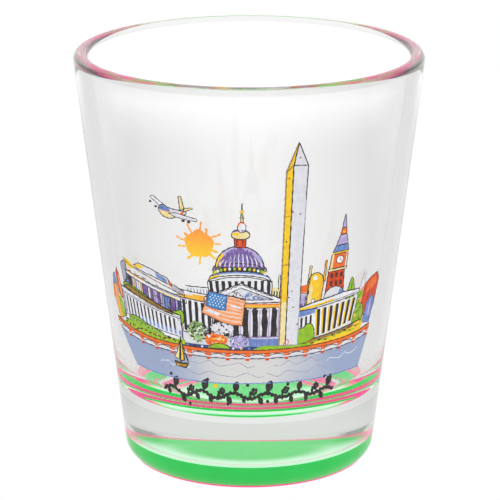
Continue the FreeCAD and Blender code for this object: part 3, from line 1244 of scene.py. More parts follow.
        for number in range(22):
            start = hall(art.random.uniform(0.0, 0.95), art.random.uniform(0.15, 1.1))
            end = (start[0] + art.random.uniform(0.4, 1.3), start[1] + art.random.uniform(-0.6, 0.2))
            art.pen([start, end], 0.09)
        lawn = smooth_run(
            [
                (-21.6, 29.3), (-20.4, 29.6), (-17.0, 28.7), (-14.0, 27.5), (-11.9, 26.8), (-9.9, 27.2),
                (-9.9, 25.2), (-12.0, 25.5), (-17.0, 27.2), (-21.0, 28.4),
            ],
            0.4,
        )
        art.shape(Ink.LIME, lawn, 0.12)
        art.layer()
        art.shape(Ink.RED, [(-13.6, 27.3), (-11.6, 26.9), (-11.5, 26.4), (-13.4, 26.8)], 0.1)
        art.press()

    def left_towers(self) -> None:
        """Tall pencil-like blocks at the far left."""
        art = self.start("left_towers", "ink_orange", 0, 22)
        art.shape(
            Ink.RED,
            [(-22.6, 27.5), (-23.0, 30.2), (-22.6, 31.2), (-22.1, 30.4), (-21.4, 27.0), (-22.0, 26.8)],
            0.08, Ink.BROWN,
        )
        art.layer()
        art.layer()
        art.fill(Ink.PEACH, [(-22.1, 27.4), (-22.45, 30.0), (-22.1, 30.2), (-21.5, 27.1)])
        art.shape(Ink.BLUE, [(-24.3, 28.3), (-23.9, 30.0), (-23.4, 30.2), (-22.9, 28.3)], 0.08, Ink.NAVY)
        art.layer()
        art.layer()
        art.shape(
            Ink.AMBER,
            [(-23.2, 23.6), (-24.0, 26.2), (-24.1, 28.3), (-23.2, 28.8), (-22.3, 25.0), (-21.9, 23.9)], 0.1,
            Ink.BROWN,
        )
        art.layer()
        art.fill(Ink.PEACH, [(-23.7, 25.6), (-23.9, 28.2), (-23.4, 28.5), (-22.9, 25.8)])
        art.fill(Ink.ORANGE, [(-24.4, 28.8), (-24.5, 26.6), (-24.2, 26.0), (-24.1, 28.3)])
        art.layer()
        art.fill(Ink.LIME, [(-22.3, 24.2), (-22.8, 26.6), (-22.0, 27.2), (-21.5, 25.0), (-21.4, 23.8)])
        art.pen([(-22.2, 24.0), (-22.8, 26.8)], 0.07)
        art.press()

    def right_towers(self) -> None:
        """Bright blocks and a blue slab at the far right."""
        art = self.start("right_towers", "ink_orange", 0, 23)
        art.resize(0.86, (17.6, 25.0), (0.0, -0.3))
        art.shape(
            Ink.WHITE, [(16.6, 27.2), (17.4, 30.6), (18.2, 32.9), (18.6, 30.2), (17.9, 27.0)], 0.1,
            Ink.GREY,
        )
        art.layer()
        art.layer()
        art.pen([(17.0, 28.0), (18.1, 32.2)], 0.07, Ink.GREY)
        art.shape(
            Ink.PEACH, [(16.9, 26.0), (17.8, 30.0), (19.0, 31.0), (19.4, 27.6), (18.6, 25.6)], 0.08,
            Ink.ORANGE,
        )
        art.layer()
        art.layer()
        art.shape(
            Ink.RED, [(17.6, 24.9), (18.7, 30.8), (20.2, 31.7), (21.9, 32.2), (22.6, 31.0), (21.7, 26.2)],
            0.1, Ink.BROWN,
        )
        art.layer()
        art.fill(Ink.ORANGE, [(19.0, 29.0), (19.5, 30.8), (21.6, 31.7), (21.9, 30.2)])
        art.pen([(19.6, 27.0), (20.1, 30.9)], 0.08, Ink.BROWN)
        art.layer()
        art.shape(
            Ink.BLUE, [(18.9, 24.0), (19.6, 27.4), (20.9, 28.6), (21.8, 27.3), (20.9, 23.7)], 0.1, Ink.NAVY,
        )
        art.layer()
        art.layer()
        art.fill(Ink.LILAC, [(20.0, 25.0), (20.5, 27.6), (20.9, 28.0), (20.8, 25.0)])
        art.pen([(20.6, 24.2), (21.1, 28.0)], 0.07, Ink.NAVY)
        art.press()

    def tree_row(self) -> None:
        """A pointed cypress and round trees."""
        art = self.start("tree_row", "ink_green", 5, 24)
        art.shape(
            Ink.LIME,
            smooth_run([(14.7, 27.4), (14.9, 29.4), (15.6, 31.3), (16.2, 29.6), (16.2, 27.6)], 0.3), 0.1,
        )
        art.shape(
            Ink.LIME,
            smooth_run(
                [(16.6, 23.4), (16.4, 25.2), (17.3, 26.9), (18.4, 26.6), (18.6, 24.6), (18.4, 23.6)], 0.3,
            ),
            0.1,
        )
        art.layer()
        art.layer()
        art.blob(Ink.LIME, (17.6, 28.3), 0.65, 0.6)
        art.blob(Ink.LIME, (17.0, 27.2), 0.6, 0.55)
        art.layer()
        for low, high in (
            ((17.0, 27.6), (17.9, 28.8)), ((16.6, 26.6), (17.6, 27.4)), ((16.9, 25.4), (17.8, 26.4)),
            ((15.4, 28.0), (15.7, 30.4)),
        ):
            art.pen([low, high], 0.09)
        art.blob(Ink.YELLOW, (16.9, 25.3), 0.25, 0.3)
        art.leaves([Ink.LEAF, Ink.OLIVE], (17.5, 25.3), 0.8, 1.2, 12, 0.14)
        art.press()

    def clock_tower(self) -> None:
        """A brick tower with a dial, a slate roof and a small domed roof at its foot."""
        art = self.start("clock_tower", "ink_orange", 6, 31)
        art.resize(0.95, (12.4, 28.4), (-0.05, 0.0))
        art.shape(Ink.RED, [(10.9, 28.4), (14.2, 28.6), (14.1, 33.1), (11.3, 33.0)], 0.13)
        art.layer()
        art.layer()
        for row in range(3):
            for column in range(3):
                x = 11.7 + column * 0.85
                y = 29.5 + row * 1.25
                art.shape(Ink.BROWN, [(x, y), (x + 0.4, y), (x + 0.4, y + 0.7), (x, y + 0.7)], 0.05)
        art.shape(Ink.ORANGE, [(11.4, 33.4), (14.4, 33.4), (14.5, 35.7), (11.7, 35.6)], 0.12)
        art.layer()
        art.shape(Ink.CREAM, [(11.2, 33.0), (14.5, 33.1), (14.5, 33.5), (11.2, 33.4)], 0.09)
        art.fill(Ink.CREAM, [(11.5, 33.4), (11.9, 33.4), (12.1, 35.7), (11.8, 35.7)])
        art.fill(Ink.WHITE, [(14.1, 33.4), (14.4, 33.4), (14.6, 35.7), (14.3, 35.7)])
        art.fill(Ink.YELLOW, [(11.7, 35.6), (14.6, 35.6), (14.6, 35.95), (11.8, 35.9)])
        art.layer()
        art.shape(Ink.WHITE, bow((13.15, 34.7), 0.62, 0.6, 0, 345, 20), 0.09)
        art.layer()
        art.layer()
        art.pen([(13.15, 35.1), (13.15, 34.7), (13.45, 34.55)], 0.08)
        art.shape(Ink.BLUE, [(11.8, 35.95), (14.6, 36.0), (14.35, 37.0), (12.3, 36.9)], 0.1)
        art.shape(Ink.LILAC, [(12.3, 36.95), (14.35, 37.05), (14.0, 38.6), (12.9, 38.5)], 0.1)
        art.shape(Ink.ORANGE, [(12.9, 38.55), (14.0, 38.6), (13.85, 39.6), (13.1, 39.55)], 0.1)
        art.shape(Ink.LILAC, [(13.1, 39.6), (13.85, 39.65), (13.55, 41.6), (13.45, 41.6)], 0.1)
        art.layer()
        art.layer()
        art.blob(Ink.YELLOW, (13.45, 38.95), 0.2, 0.18)
        dome = bow((12.6, 28.9), 1.8, 1.7, 0, 180)
        art.shape(Ink.PALE, dome, 0.11)
        art.layer()
        art.layer()
        art.fill(Ink.BLUE, bow((13.5, 29.0), 0.8, 1.1, 0, 90) + [(13.2, 29.0)])
        art.press()

    def castle_tower(self) -> None:
        """A sand-coloured tower with two pinnacles, and the roofs behind it."""
        art = self.start("castle_tower", "ink_yellow", 4, 32)
        art.fill(Ink.LILAC, [(6.8, 26.6), (8.6, 26.8), (8.6, 30.0), (6.8, 29.8)])
        art.fill(Ink.ORANGE, [(6.9, 30.1), (8.6, 30.2), (8.7, 31.4), (6.9, 31.2)])
        art.layer()
        art.fill(Ink.VIOLET, [(7.0, 26.6), (7.5, 26.6), (7.6, 28.6), (7.1, 28.6)])
        art.pen([(6.9, 30.0), (8.6, 30.1)], 0.1)
        art.pen([(7.9, 27.0), (8.0, 29.6)], 0.1)
        art.layer()
        crown = bow((9.45, 31.6), 1.15, 1.35, 10, 170, 10)
        art.shape(
            Ink.YELLOW, [(8.1, 27.3), (10.3, 27.9), (10.7, 31.6), *crown, (8.4, 31.6), (8.2, 29.5)], 0.12,
        )
        art.shape(Ink.CREAM, [(8.15, 31.3), (8.5, 31.5), (8.75, 34.0), (8.45, 34.1)], 0.09)
        art.shape(Ink.AMBER, [(10.55, 31.4), (10.9, 31.5), (11.0, 34.6), (10.75, 34.6)], 0.09)
        art.layer()
        art.layer()
        art.fill(Ink.AMBER, [(9.9, 28.0), (10.25, 28.2), (10.6, 31.4), (10.2, 32.2)])
        art.fill(Ink.CREAM, [(8.25, 27.6), (8.8, 27.7), (9.0, 30.5), (8.8, 31.8), (8.45, 30.0)])
        art.layer()
        art.blob(Ink.WHITE, (9.3, 32.2), 0.35, 0.35)
        art.shape(Ink.WHITE, [(8.9, 28.2), (9.4, 28.3), (9.4, 29.1), (8.9, 29.0)], 0.08)
        art.blob(Ink.BLACK, (8.35, 30.2), 0.15, 0.35)
        art.press()

    def long_colonnade(self) -> None:
        """The long low front on the left bank, with its planted strip and hedge."""
        art = self.start("long_colonnade", "ink_pale", 31, 33)
        front = patch((-21.0, 24.0), (-9.9, 22.7), (-10.1, 26.5), (-21.5, 28.8))
        art.shape(Ink.WHITE, area(front, 0.0, 0.0, 1.0, 1.0), 0.13)
        art.layer()
        art.layer()
        art.bars(front, 15, 0.2, 0.8, 0.42, Ink.BLACK)
        art.layer()
        for number in range(15):
            middle = (number + 0.5) / 15
            if number > 4:
                art.fill(Ink.BLUE, area(front, middle - 0.012, 0.2, middle + 0.016, 0.38))
        art.fill(Ink.GREY, area(front, 0.0, 0.2, 0.06, 0.82))
        art.fill(Ink.PALE, area(front, 0.92, 0.0, 0.99, 0.78))
        art.pen([front(0.0, 0.84), front(1.0, 0.86)], 0.1)
        art.pen([front(0.0, 0.9), front(1.0, 0.92)], 0.06)
        art.pen([front(0.0, 0.16), front(1.0, 0.14)], 0.1)
        strip = [
            (-20.9, 29.0), (-19.6, 29.3), (-15.0, 28.0), (-11.3, 26.7), (-11.2, 26.5), (-15.4, 27.4),
            (-19.0, 28.4),
        ]
        art.shape(Ink.OLIVE, strip, 0.1)
        hedge = smooth_run(
            [
                (-20.3, 24.6), (-18.6, 24.9), (-16.0, 24.2), (-13.2, 23.3), (-13.4, 22.6), (-16.6, 23.3),
                (-20.1, 24.0),
            ],
            0.4,
        )
        art.shape(Ink.LIME, hedge, 0.11)
        art.layer()
        art.layer()
        for number in range(26):
            share = number / 25
            spot = (
                -20.0 + 6.6 * share + art.random.uniform(-0.2, 0.2),
                24.4 - 1.4 * share**1.2 + art.random.uniform(-0.25, 0.25),
            )
            art.blob(Ink.LEAF if number % 3 else Ink.BLACK, spot, 0.15, 0.12, 0.3, 6)
        for number in range(9):
            art.pen(
                [
                    (-20.6 + number * 1.05, 28.95 - number * 0.27),
                    (-19.9 + number * 1.05, 28.7 - number * 0.27),
                ],
                0.08, Ink.BROWN,
            )
        art.pen([(-21.3, 23.9), (-17.0, 22.9), (-12.8, 22.4), (-9.6, 22.2)], 0.14)
        art.pen([(-21.4, 28.3), (-21.2, 24.3)], 0.16)
        art.press()

    def domed_hall(self) -> None:
        """The great hall: wings, portico, round colonnade, ribbed dome and lantern."""
        art = self.start("domed_hall", "ink_pale", 3, 41)
        base = [(-9.9, 22.4), (4.3, 22.4), (4.3, 24.2), (-9.9, 24.4)]
        art.fill(Ink.PALE, base)
        wing = patch((-9.8, 24.2), (-5.2, 23.8), (-5.2, 29.4), (-9.9, 29.9))
        art.shape(Ink.WHITE, area(wing, 0.0, 0.0, 1.0, 1.0), 0.12)
        body = patch((-5.4, 23.6), (4.3, 23.8), (4.3, 29.0), (-5.4, 29.2))
        art.fill(Ink.WHITE, area(body, 0.0, 0.0, 1.0, 1.0))
        art.fill(Ink.WHITE, [(-8.8, 30.0), (-5.6, 29.8), (-5.7, 31.1), (-8.9, 31.1)])
        art.fill(Ink.CREAM, [(2.9, 29.0), (4.3, 28.9), (4.4, 31.1), (2.9, 31.4)])
        art.layer()
        art.layer()
        art.bars(wing, 5, 0.05, 0.86, 0.5, Ink.BLACK, 0.2)
        art.fill(Ink.AMBER, [(-10.1, 29.4), (-5.4, 28.9), (-5.3, 29.7), (-10.1, 30.2)])
        art.bars(
            patch((-8.9, 30.2), (-5.6, 30.0), (-5.7, 31.0), (-8.9, 31.0)), 7, 0.1, 0.8, 0.4, Ink.GREY, 0.3,
        )
        art.bars(
            patch((2.9, 29.3), (4.4, 29.1), (4.4, 30.9), (2.9, 31.2)), 4, 0.1, 0.85, 0.5, Ink.BLACK, 0.3,
        )
        art.layer()
        art.fill(Ink.WHITE, [(-10.1, 29.9), (-8.0, 29.7), (-8.0, 30.3), (-10.1, 30.5)])
        art.pen([(-10.2, 29.35), (-5.4, 28.85)], 0.13)
        art.pen([(-10.2, 30.5), (-5.4, 30.0)], 0.13)
        art.pen([(-9.0, 31.1), (-5.7, 31.1)], 0.12)
        art.pen([(4.3, 30.6), (4.3, 33.1), (4.05, 33.1), (4.0, 30.9)], 0.1)
        drum = patch((-5.6, 30.3), (3.1, 30.2), (3.1, 32.4), (-5.75, 32.2))
        art.shape(
            Ink.WHITE, [(-5.6, 30.3), (3.1, 30.2), (3.15, 32.2), (0.0, 32.9), (-3.0, 32.8), (-5.75, 32.0)],
            0.1,
        )
        art.layer()
        art.layer()
        art.bars(drum, 10, 0.0, 1.0, 0.52, Ink.BLACK, 0.22)
        band = bow((-1.3, 31.8), 4.45, 1.35, 172, 8, 18)
        upper = bow((-1.3, 32.6), 4.1, 1.15, 8, 172, 18)
        art.layer()
        art.shape(Ink.WHITE, band + upper, 0.12)
        art.layer()
        art.fill(
            Ink.BLUE, bow((-1.3, 32.25), 4.3, 1.2, 150, 8, 16) + bow((-1.3, 32.5), 4.2, 1.2, 8, 150, 16),
        )
        art.fill(
            Ink.YELLOW,
            bow((-1.3, 31.9), 4.4, 1.3, 176, 128, 8) + bow((-1.3, 32.25), 4.3, 1.2, 128, 176, 8),
        )
        art.layer()
        ring = bow((-1.3, 32.75), 3.75, 1.1, 170, 10, 16) + bow((-1.3, 33.5), 3.65, 0.9, 10, 170, 16)
        art.shape(Ink.BLACK, ring, 0.1)
        art.layer()
        art.layer()
        for number in range(15):
            angle = math.radians(166 - number * 10.9)
            spot = (-1.3 + 3.62 * math.cos(angle), 33.12 + 1.0 * math.sin(angle))
            art.blob((Ink.LIME, Ink.YELLOW, Ink.WHITE)[number % 3], spot, 0.2, 0.24)
        collar = bow((-1.3, 33.65), 3.75, 0.85, 176, 4, 16) + bow((-1.3, 34.15), 3.6, 0.8, 4, 176, 16)
        art.layer()
        art.shape(Ink.VIOLET, collar, 0.08)
        art.layer()
        art.shape(
            Ink.LILAC,
            bow((-1.28, 34.1), 3.28, 3.35, 0, 180, 26) + [(-3.4, 34.75), (-1.28, 34.95), (0.9, 34.75)],
            0.13,
        )
        art.layer()
        yellow = bow((-1.28, 34.2), 3.2, 3.2, 180, 140, 8) + bow((-1.28, 34.35), 2.6, 3.0, 140, 178, 8)
        art.fill(Ink.YELLOW, yellow)
        for number in range(10):
            share = -0.84 + number * 0.185
            rise = math.sqrt(1 - share * share)
            meridian = []
            for up in (0.0, 0.3, 0.62, 0.88):
                meridian.append((-1.28 + 3.35 * share * math.cos(up), 34.35 + 2.95 * rise * up + 0.1))
            art.pen(smooth_run(meridian, 0.2), 0.3 + 0.07 * (number % 3), Ink.VIOLET)
            art.pen([(x + 0.22, y) for x, y in meridian[:3]], 0.13, Ink.WHITE)
        art.layer()
        for number in range(7):
            share = -0.62 + number * 0.21
            rise = math.sqrt(1 - share * share)
            ends = [(-1.28 + 3.3 * share * math.cos(up), 34.6 + 2.6 * rise * up) for up in (0.15, 0.85)]
            art.pen(ends, 0.08, Ink.NAVY)
        art.pen(bow((1.2, 35.1), 0.5, 1.0, 20, 75, 6), 0.16, Ink.BLUE)
        lantern = [(-1.85, 37.3), (-0.5, 37.2), (-0.35, 38.7), (-2.0, 38.8)]
        art.shape(Ink.RED, lantern, 0.11)
        art.layer()
        art.layer()
        for number in range(3):
            x = -1.6 + number * 0.4
            art.pen([(x, 37.5), (x, 38.5)], 0.12, Ink.ORANGE if number % 2 else Ink.BROWN)
        art.shape(
            Ink.CREAM, bow((-1.1, 39.0), 1.2, 0.55, 180, 360) + bow((-1.1, 39.2), 1.15, 0.75, 0, 180), 0.12,
        )
        art.layer()
        art.layer()
        art.fill(Ink.YELLOW, bow((-1.2, 39.15), 1.0, 0.3, 90, 200) + [(-1.6, 39.0)])
        art.fill(Ink.VIOLET, bow((-1.1, 39.5), 0.95, 0.35, 10, 170) + bow((-1.1, 39.35), 0.9, 0.3, 170, 10))
        art.shape(Ink.WHITE, bow((-0.95, 40.2), 0.55, 0.75, 0, 345, 18), 0.1)
        art.layer()
        art.layer()
        art.pen(bow((-0.95, 40.3), 0.5, 0.62, 20, 170, 10), 0.16, Ink.ORANGE)
        art.shape(Ink.CREAM, [(-1.12, 41.0), (-0.72, 41.0), (-0.84, 42.4), (-0.9, 43.7), (-0.98, 42.4)], 0.1)
        art.layer()
        art.layer()
        art.blob(Ink.YELLOW, (-0.92, 42.5), 0.26, 0.26)
        art.pen([(-1.25, 41.6), (-0.6, 41.6)], 0.09)
        art.pen([(-1.2, 42.5), (-0.62, 42.5)], 0.08)
        gable = [(-6.3, 29.7), (-1.1, 32.0), (4.4, 29.6), (4.4, 29.1), (-6.3, 29.0)]
        art.shape(Ink.WHITE, gable, 0.13)
        art.layer()
        art.layer()
        art.shape(Ink.PALE, [(-4.6, 29.5), (-1.1, 31.3), (3.4, 29.5)], 0.1)
        art.fill(Ink.BLUE, [(-1.0, 29.6), (-0.2, 30.7), (2.9, 29.6)])
        art.layer()
        art.leaves([Ink.BLACK, Ink.WHITE, Ink.PALE], (-1.0, 30.1), 2.4, 0.55, 60, 0.15)
        zigzag = [
            (-5.4 + k * 0.36, 29.9 + min(k, 24 - k) * 0.155 + (0.1 if k % 2 else -0.04))
            for k in range(25)
        ]
        art.pen(zigzag, 0.08)
        art.fill(Ink.AMBER, [(-5.3, 28.45), (4.2, 28.35), (4.2, 28.75), (-5.3, 28.85)])
        portico = patch((-5.2, 24.0), (4.2, 24.0), (4.2, 28.3), (-5.2, 28.4))
        art.bars(portico, 7, 0.0, 0.98, 0.6, Ink.BLACK, 0.22)
        art.layer()
        art.pen([(-5.3, 28.35), (4.3, 28.25)], 0.12)
        art.pen([(-5.3, 28.9), (4.3, 28.8)], 0.1, Ink.ORANGE)
        for number in range(7):
            edge = portico((number + 0.98) / 7, 0.0)
            top = portico((number + 1.0) / 7, 0.95)
            art.pen([(edge[0] - 0.05, edge[1]), (top[0] - 0.02, top[1])], 0.14, Ink.LILAC)
            art.fill(
                Ink.WHITE,
                [
                    (top[0] - 0.45, top[1] - 0.05), (top[0] + 0.35, top[1] - 0.05),
                    (top[0] + 0.35, top[1] + 0.2), (top[0] - 0.45, top[1] + 0.2),
                ],
            )
        art.fill(Ink.BLUE, [(-1.5, 22.5), (4.3, 22.5), (4.3, 23.6), (-1.5, 23.7)])
        art.layer()
        for number in range(5):
            x = 0.2 + number * 0.85
            art.pen([(x, 22.6), (x + 0.05, 23.7)], 0.07, Ink.VIOLET)
        art.pen([(-1.6, 23.95), (4.3, 23.95)], 0.08, Ink.VIOLET)
        art.press()

    def columned_temple(self) -> None:
        """The temple on the right bank: yellow columns, long steps, a green bank."""
        art = self.start("columned_temple", "ink_pale", 32, 42)
        art.shape(Ink.WHITE, [(6.9, 22.6), (10.0, 23.3), (9.8, 27.6), (6.9, 27.3)], 0.1)
        front = patch((9.8, 23.3), (16.2, 24.7), (16.9, 28.3), (9.6, 27.6))
        art.fill(Ink.WHITE, area(front, 0.0, 0.0, 1.0, 1.0))
        art.layer()
        art.layer()
        art.bars(front, 7, 0.02, 0.96, 0.5, Ink.BLACK, 0.12)
        art.layer()
        for number in range(7):
            middle = number / 7
            art.fill(Ink.YELLOW, area(front, middle + 0.005, 0.02, middle + 0.04, 0.94))
        art.fill(Ink.BLUE, [(6.9, 26.5), (9.6, 27.0), (9.6, 27.6), (6.9, 27.4)])
        art.bars(patch((7.2, 24.9), (9.3, 25.2), (9.3, 26.8), (7.2, 26.4)), 3, 0.0, 1.0, 0.45, Ink.BLACK)
        art.layer()
        roof = [(6.9, 27.5), (9.6, 27.7), (17.2, 28.7), (17.3, 29.3), (14.2, 29.4), (9.4, 28.6), (7.2, 28.0)]
        art.shape(Ink.WHITE, roof, 0.12)
        art.layer()
        art.layer()
        art.fill(
            Ink.YELLOW, [(7.2, 27.6), (9.6, 27.85), (12.6, 28.4), (12.4, 28.7), (9.4, 28.2), (7.2, 27.9)],
        )
        art.pen([(9.6, 28.0), (17.0, 28.95)], 0.08)
        art.shape(
            Ink.LIME,
            smooth_run(

                [(6.8, 22.4), (6.9, 24.6), (7.8, 24.9), (8.6, 25.5), (9.4, 25.0), (9.6, 23.2), (8.0, 22.6)],
                0.3,
            ),
            0.1,
        )
        steps = patch((7.6, 22.2), (18.0, 24.0), (18.2, 24.5), (9.3, 23.1))
        art.layer()
        art.layer()
        art.shape(Ink.YELLOW, area(steps, 0.0, 0.0, 1.0, 1.0), 0.1)
        art.layer()
        art.layer()
        art.fill(Ink.CREAM, area(steps, 0.15, 0.45, 0.85, 0.75))
        art.layer()
        for up in (0.3, 0.55, 0.8):
            art.pen([steps(0.02, up), steps(0.86, up)], 0.08, Ink.BROWN)
        art.press()

    def arcade_bridge(self) -> None:
        """The low bridge along the bank: an orange deck on small arches."""
        art = self.start("arcade_bridge", "ink_orange", 44, 51)
        line = smooth_run(
            [
                (-23.9, 23.3), (-18.5, 22.4), (-13.7, 21.95), (-7.0, 21.75), (0.0, 21.7), (7.0, 21.8),
                (13.5, 22.1), (17.5, 22.5), (20.5, 23.1),
            ],
            0.6,
        )
        left_bank = [
            (-22.4, 23.3), (-20.0, 24.0), (-16.2, 23.4), (-13.0, 22.9), (-9.6, 22.9), (-9.6, 22.2),
            (-14.0, 22.2), (-19.0, 22.7),
        ]
        right_bank = [
            (8.8, 22.3), (12.0, 23.0), (16.0, 23.6), (18.6, 24.3), (18.4, 23.0), (14.0, 22.4), (9.0, 22.1),
        ]
        art.fill(Ink.LIME, left_bank)
        art.fill(Ink.YELLOW, right_bank)
        art.layer()
        for number in range(40):
            share = number / 39
            spot = (-21.5 + 11.5 * share, 23.3 - 0.8 * share + art.random.uniform(-0.2, 0.25))
            art.blob(Ink.BLACK if number % 3 else Ink.AMBER, spot, 0.22, 0.12, 0.3, 6)
        for number in range(24):
            share = number / 23
            spot = (9.4 + 8.6 * share, 22.6 + 1.1 * share + art.random.uniform(-0.2, 0.2))
            art.blob(Ink.LIME if number % 3 else Ink.BLACK, spot, 0.3, 0.13, 0.3, 6)
        art.fill(Ink.NAVY, [(-9.6, 22.5), (1.2, 22.5), (1.2, 21.9), (-9.6, 21.9)])
        art.fill(
            Ink.LIME, smooth_run([(0.4, 22.0), (2.0, 22.6), (5.0, 22.5), (9.3, 22.5), (9.0, 22.0)], 0.4),
        )
        art.layer()
        for number in range(9):
            x = -9.2 + number * 1.15
            art.blob((Ink.BLUE, Ink.BLACK, Ink.WHITE, Ink.YELLOW)[number % 4], (x, 22.25), 0.2, 0.16)
        art.layer()
        art.fill(Ink.PALE, [(a, b - 0.15) for a, b in line] + [(a, b - 1.0) for a, b in line[::-1]])
        art.layer()
        art.fill(Ink.ORANGE, [(a, b + 0.22) for a, b in line] + [(a, b - 0.22) for a, b in line[::-1]])
        art.layer()
        count = 15
        first = -23.4
        bay = 43.4 / count
        for number in range(count):
            start = first + number * bay
            end = start + bay
            middle = (start + end) / 2
            level = self.deck(line, middle)
            reach = (end - start) / 2 - 0.2
            pier = self.deck(line, end)
            art.fill(
                Ink.ORANGE,
                [
                    (end - 0.55, pier - 0.15), (end + 0.55, pier - 0.15), (end + 0.24, pier - 0.75),
                    (end - 0.24, pier - 0.75),
                ],
            )
            art.fill(
                Ink.RED,
                [
                    (end - 0.3, pier - 0.95), (end + 0.3, pier - 0.95), (end + 0.24, pier - 1.3),
                    (end - 0.24, pier - 1.3),
                ],
            )
            art.pen(bow((middle, level - 0.85), reach, 0.5, 165, 15, 8), 0.1, Ink.BROWN)
            art.pen(
                [
                    (start + 0.3, self.deck(line, start + 0.3) - 0.98),
                    (end - 0.3, self.deck(line, end - 0.3) - 0.98),
                ],
                0.11,
            )
        art.layer()
        art.pen([(a, b + 0.28) for a, b in line], 0.11, Ink.BROWN)
        art.pen([(a, b - 0.24) for a, b in line], 0.07, Ink.BROWN)
        art.fill(
            Ink.LIME,
            smooth_run(
                [(0.6, 22.1), (2.0, 22.5), (5.0, 22.45), (8.6, 22.5), (8.4, 22.15), (4.0, 22.1)], 0.4,
            ),
        )
        art.press()

    @staticmethod
    def deck(line: Sequence[Point], place: float) -> float:
        """The deck's height at a place along it."""
        for (x0, y0), (x1, y1) in zip(line, line[1:]):
            if x0 <= place <= x1:
                return y0 + (y1 - y0) * (place - x0) / max(x1 - x0, 1e-6)
        return line[-1][1]

    def shore_bushes(self) -> None:
        """Speckled bushes on the bank: green, orange and blue."""
        art = self.start("shore_bushes", "ink_green", 50, 52)
        art.blob(Ink.LEAF, (-7.6, 24.4), 1.45, 1.5, 0.12, 16)
        art.blob(Ink.ORANGE, (-4.7, 23.4), 1.6, 1.05, 0.1, 16)
        art.blob(Ink.LILAC, (-1.4, 23.2), 1.4, 1.0, 0.1, 16)
        art.blob(Ink.PALE, (-3.9, 25.2), 1.5, 0.9, 0.2, 14)
        art.layer()
        art.leaves([Ink.BLACK, Ink.LEAF, Ink.WHITE, Ink.BLACK, Ink.LEAF], (-7.6, 24.4), 1.5, 1.55, 84, 0.2)
        art.leaves([Ink.RED, Ink.AMBER, Ink.YELLOW, Ink.WHITE], (-4.7, 23.5), 1.5, 0.95, 44, 0.17)
        art.leaves([Ink.BLUE, Ink.NAVY, Ink.PALE], (-1.4, 23.2), 1.4, 0.95, 40, 0.15)
        art.leaves([Ink.WHITE, Ink.BLACK, Ink.PALE], (-3.9, 25.3), 1.5, 0.85, 34, 0.17)
        art.layer()
        art.shape(Ink.LIME, bow((-4.3, 22.15), 1.5, 0.75, 0, 180), 0.09)
        for centre, across in (
            ((-4.7, 23.4), 1.6), ((-1.4, 23.2), 1.4), ((-3.9, 25.2), 1.4), ((-7.6, 24.4), 1.5),
        ):
            for number in range(5):
                angle = 30 + number * 27
                spot = bow(centre, across, 0.66 * across, angle, angle, 1)[0]
                art.pen(bow(spot, 0.32, 0.24, -20, 200, 7), 0.07)
        art.press()

    def obelisk(self) -> None:
        """The tall shaft, sunlit on its narrow face."""
        art = self.start("obelisk", "ink_pale", 54, 61)
        shaft = [(4.3, 22.6), (7.05, 22.5), (7.4, 48.9), (6.1, 52.3), (4.62, 48.2)]
        art.shape(Ink.PALE, shaft, 0.12, Ink.GREY)
        art.layer()
        art.layer()
        art.fill(Ink.CREAM, [(4.36, 22.7), (5.2, 22.7), (5.28, 29.0), (4.42, 29.0)])
        art.fill(Ink.YELLOW, [(4.42, 29.0), (5.28, 29.0), (5.5, 48.9), (4.68, 48.2)])
        art.fill(Ink.YELLOW, [(4.72, 48.3), (5.5, 49.0), (5.98, 51.8)])
        art.layer()
        art.pen([(5.24, 22.6), (5.3, 30.0), (5.52, 49.0), (6.08, 52.2)], 0.13)
        art.pen([(4.7, 48.2), (5.5, 49.05), (7.35, 48.95)], 0.11)
        art.pen([(4.34, 22.6), (4.45, 34.0), (4.66, 48.2), (6.1, 52.3)], 0.13, Ink.OLIVE)
        art.pen([(6.1, 52.3), (7.4, 48.9), (7.3, 44.0)], 0.1)
        art.pen([(7.28, 40.0), (7.2, 33.0), (7.16, 28.0)], 0.09)
        art.pen([(4.34, 34.5), (5.3, 34.6)], 0.07, Ink.BROWN)
        art.pen([(4.5, 41.6), (5.4, 41.7)], 0.07, Ink.BROWN)
        for spot in (
            (6.6, 41.9), (5.6, 42.3), (5.3, 33.4), (5.9, 30.6), (5.5, 29.7), (6.2, 28.2), (5.4, 36.4),
            (6.3, 50.1), (6.9, 25.6), (5.0, 47.2), (4.9, 38.0),
        ):
            art.blob(Ink.BROWN, spot, 0.12, 0.12, 0.3, 7)
        art.pen(smooth_run([(4.9, 22.5), (5.4, 23.4), (5.7, 23.2), (5.6, 22.6)], 0.2), 0.11, Ink.RED)
        art.press()

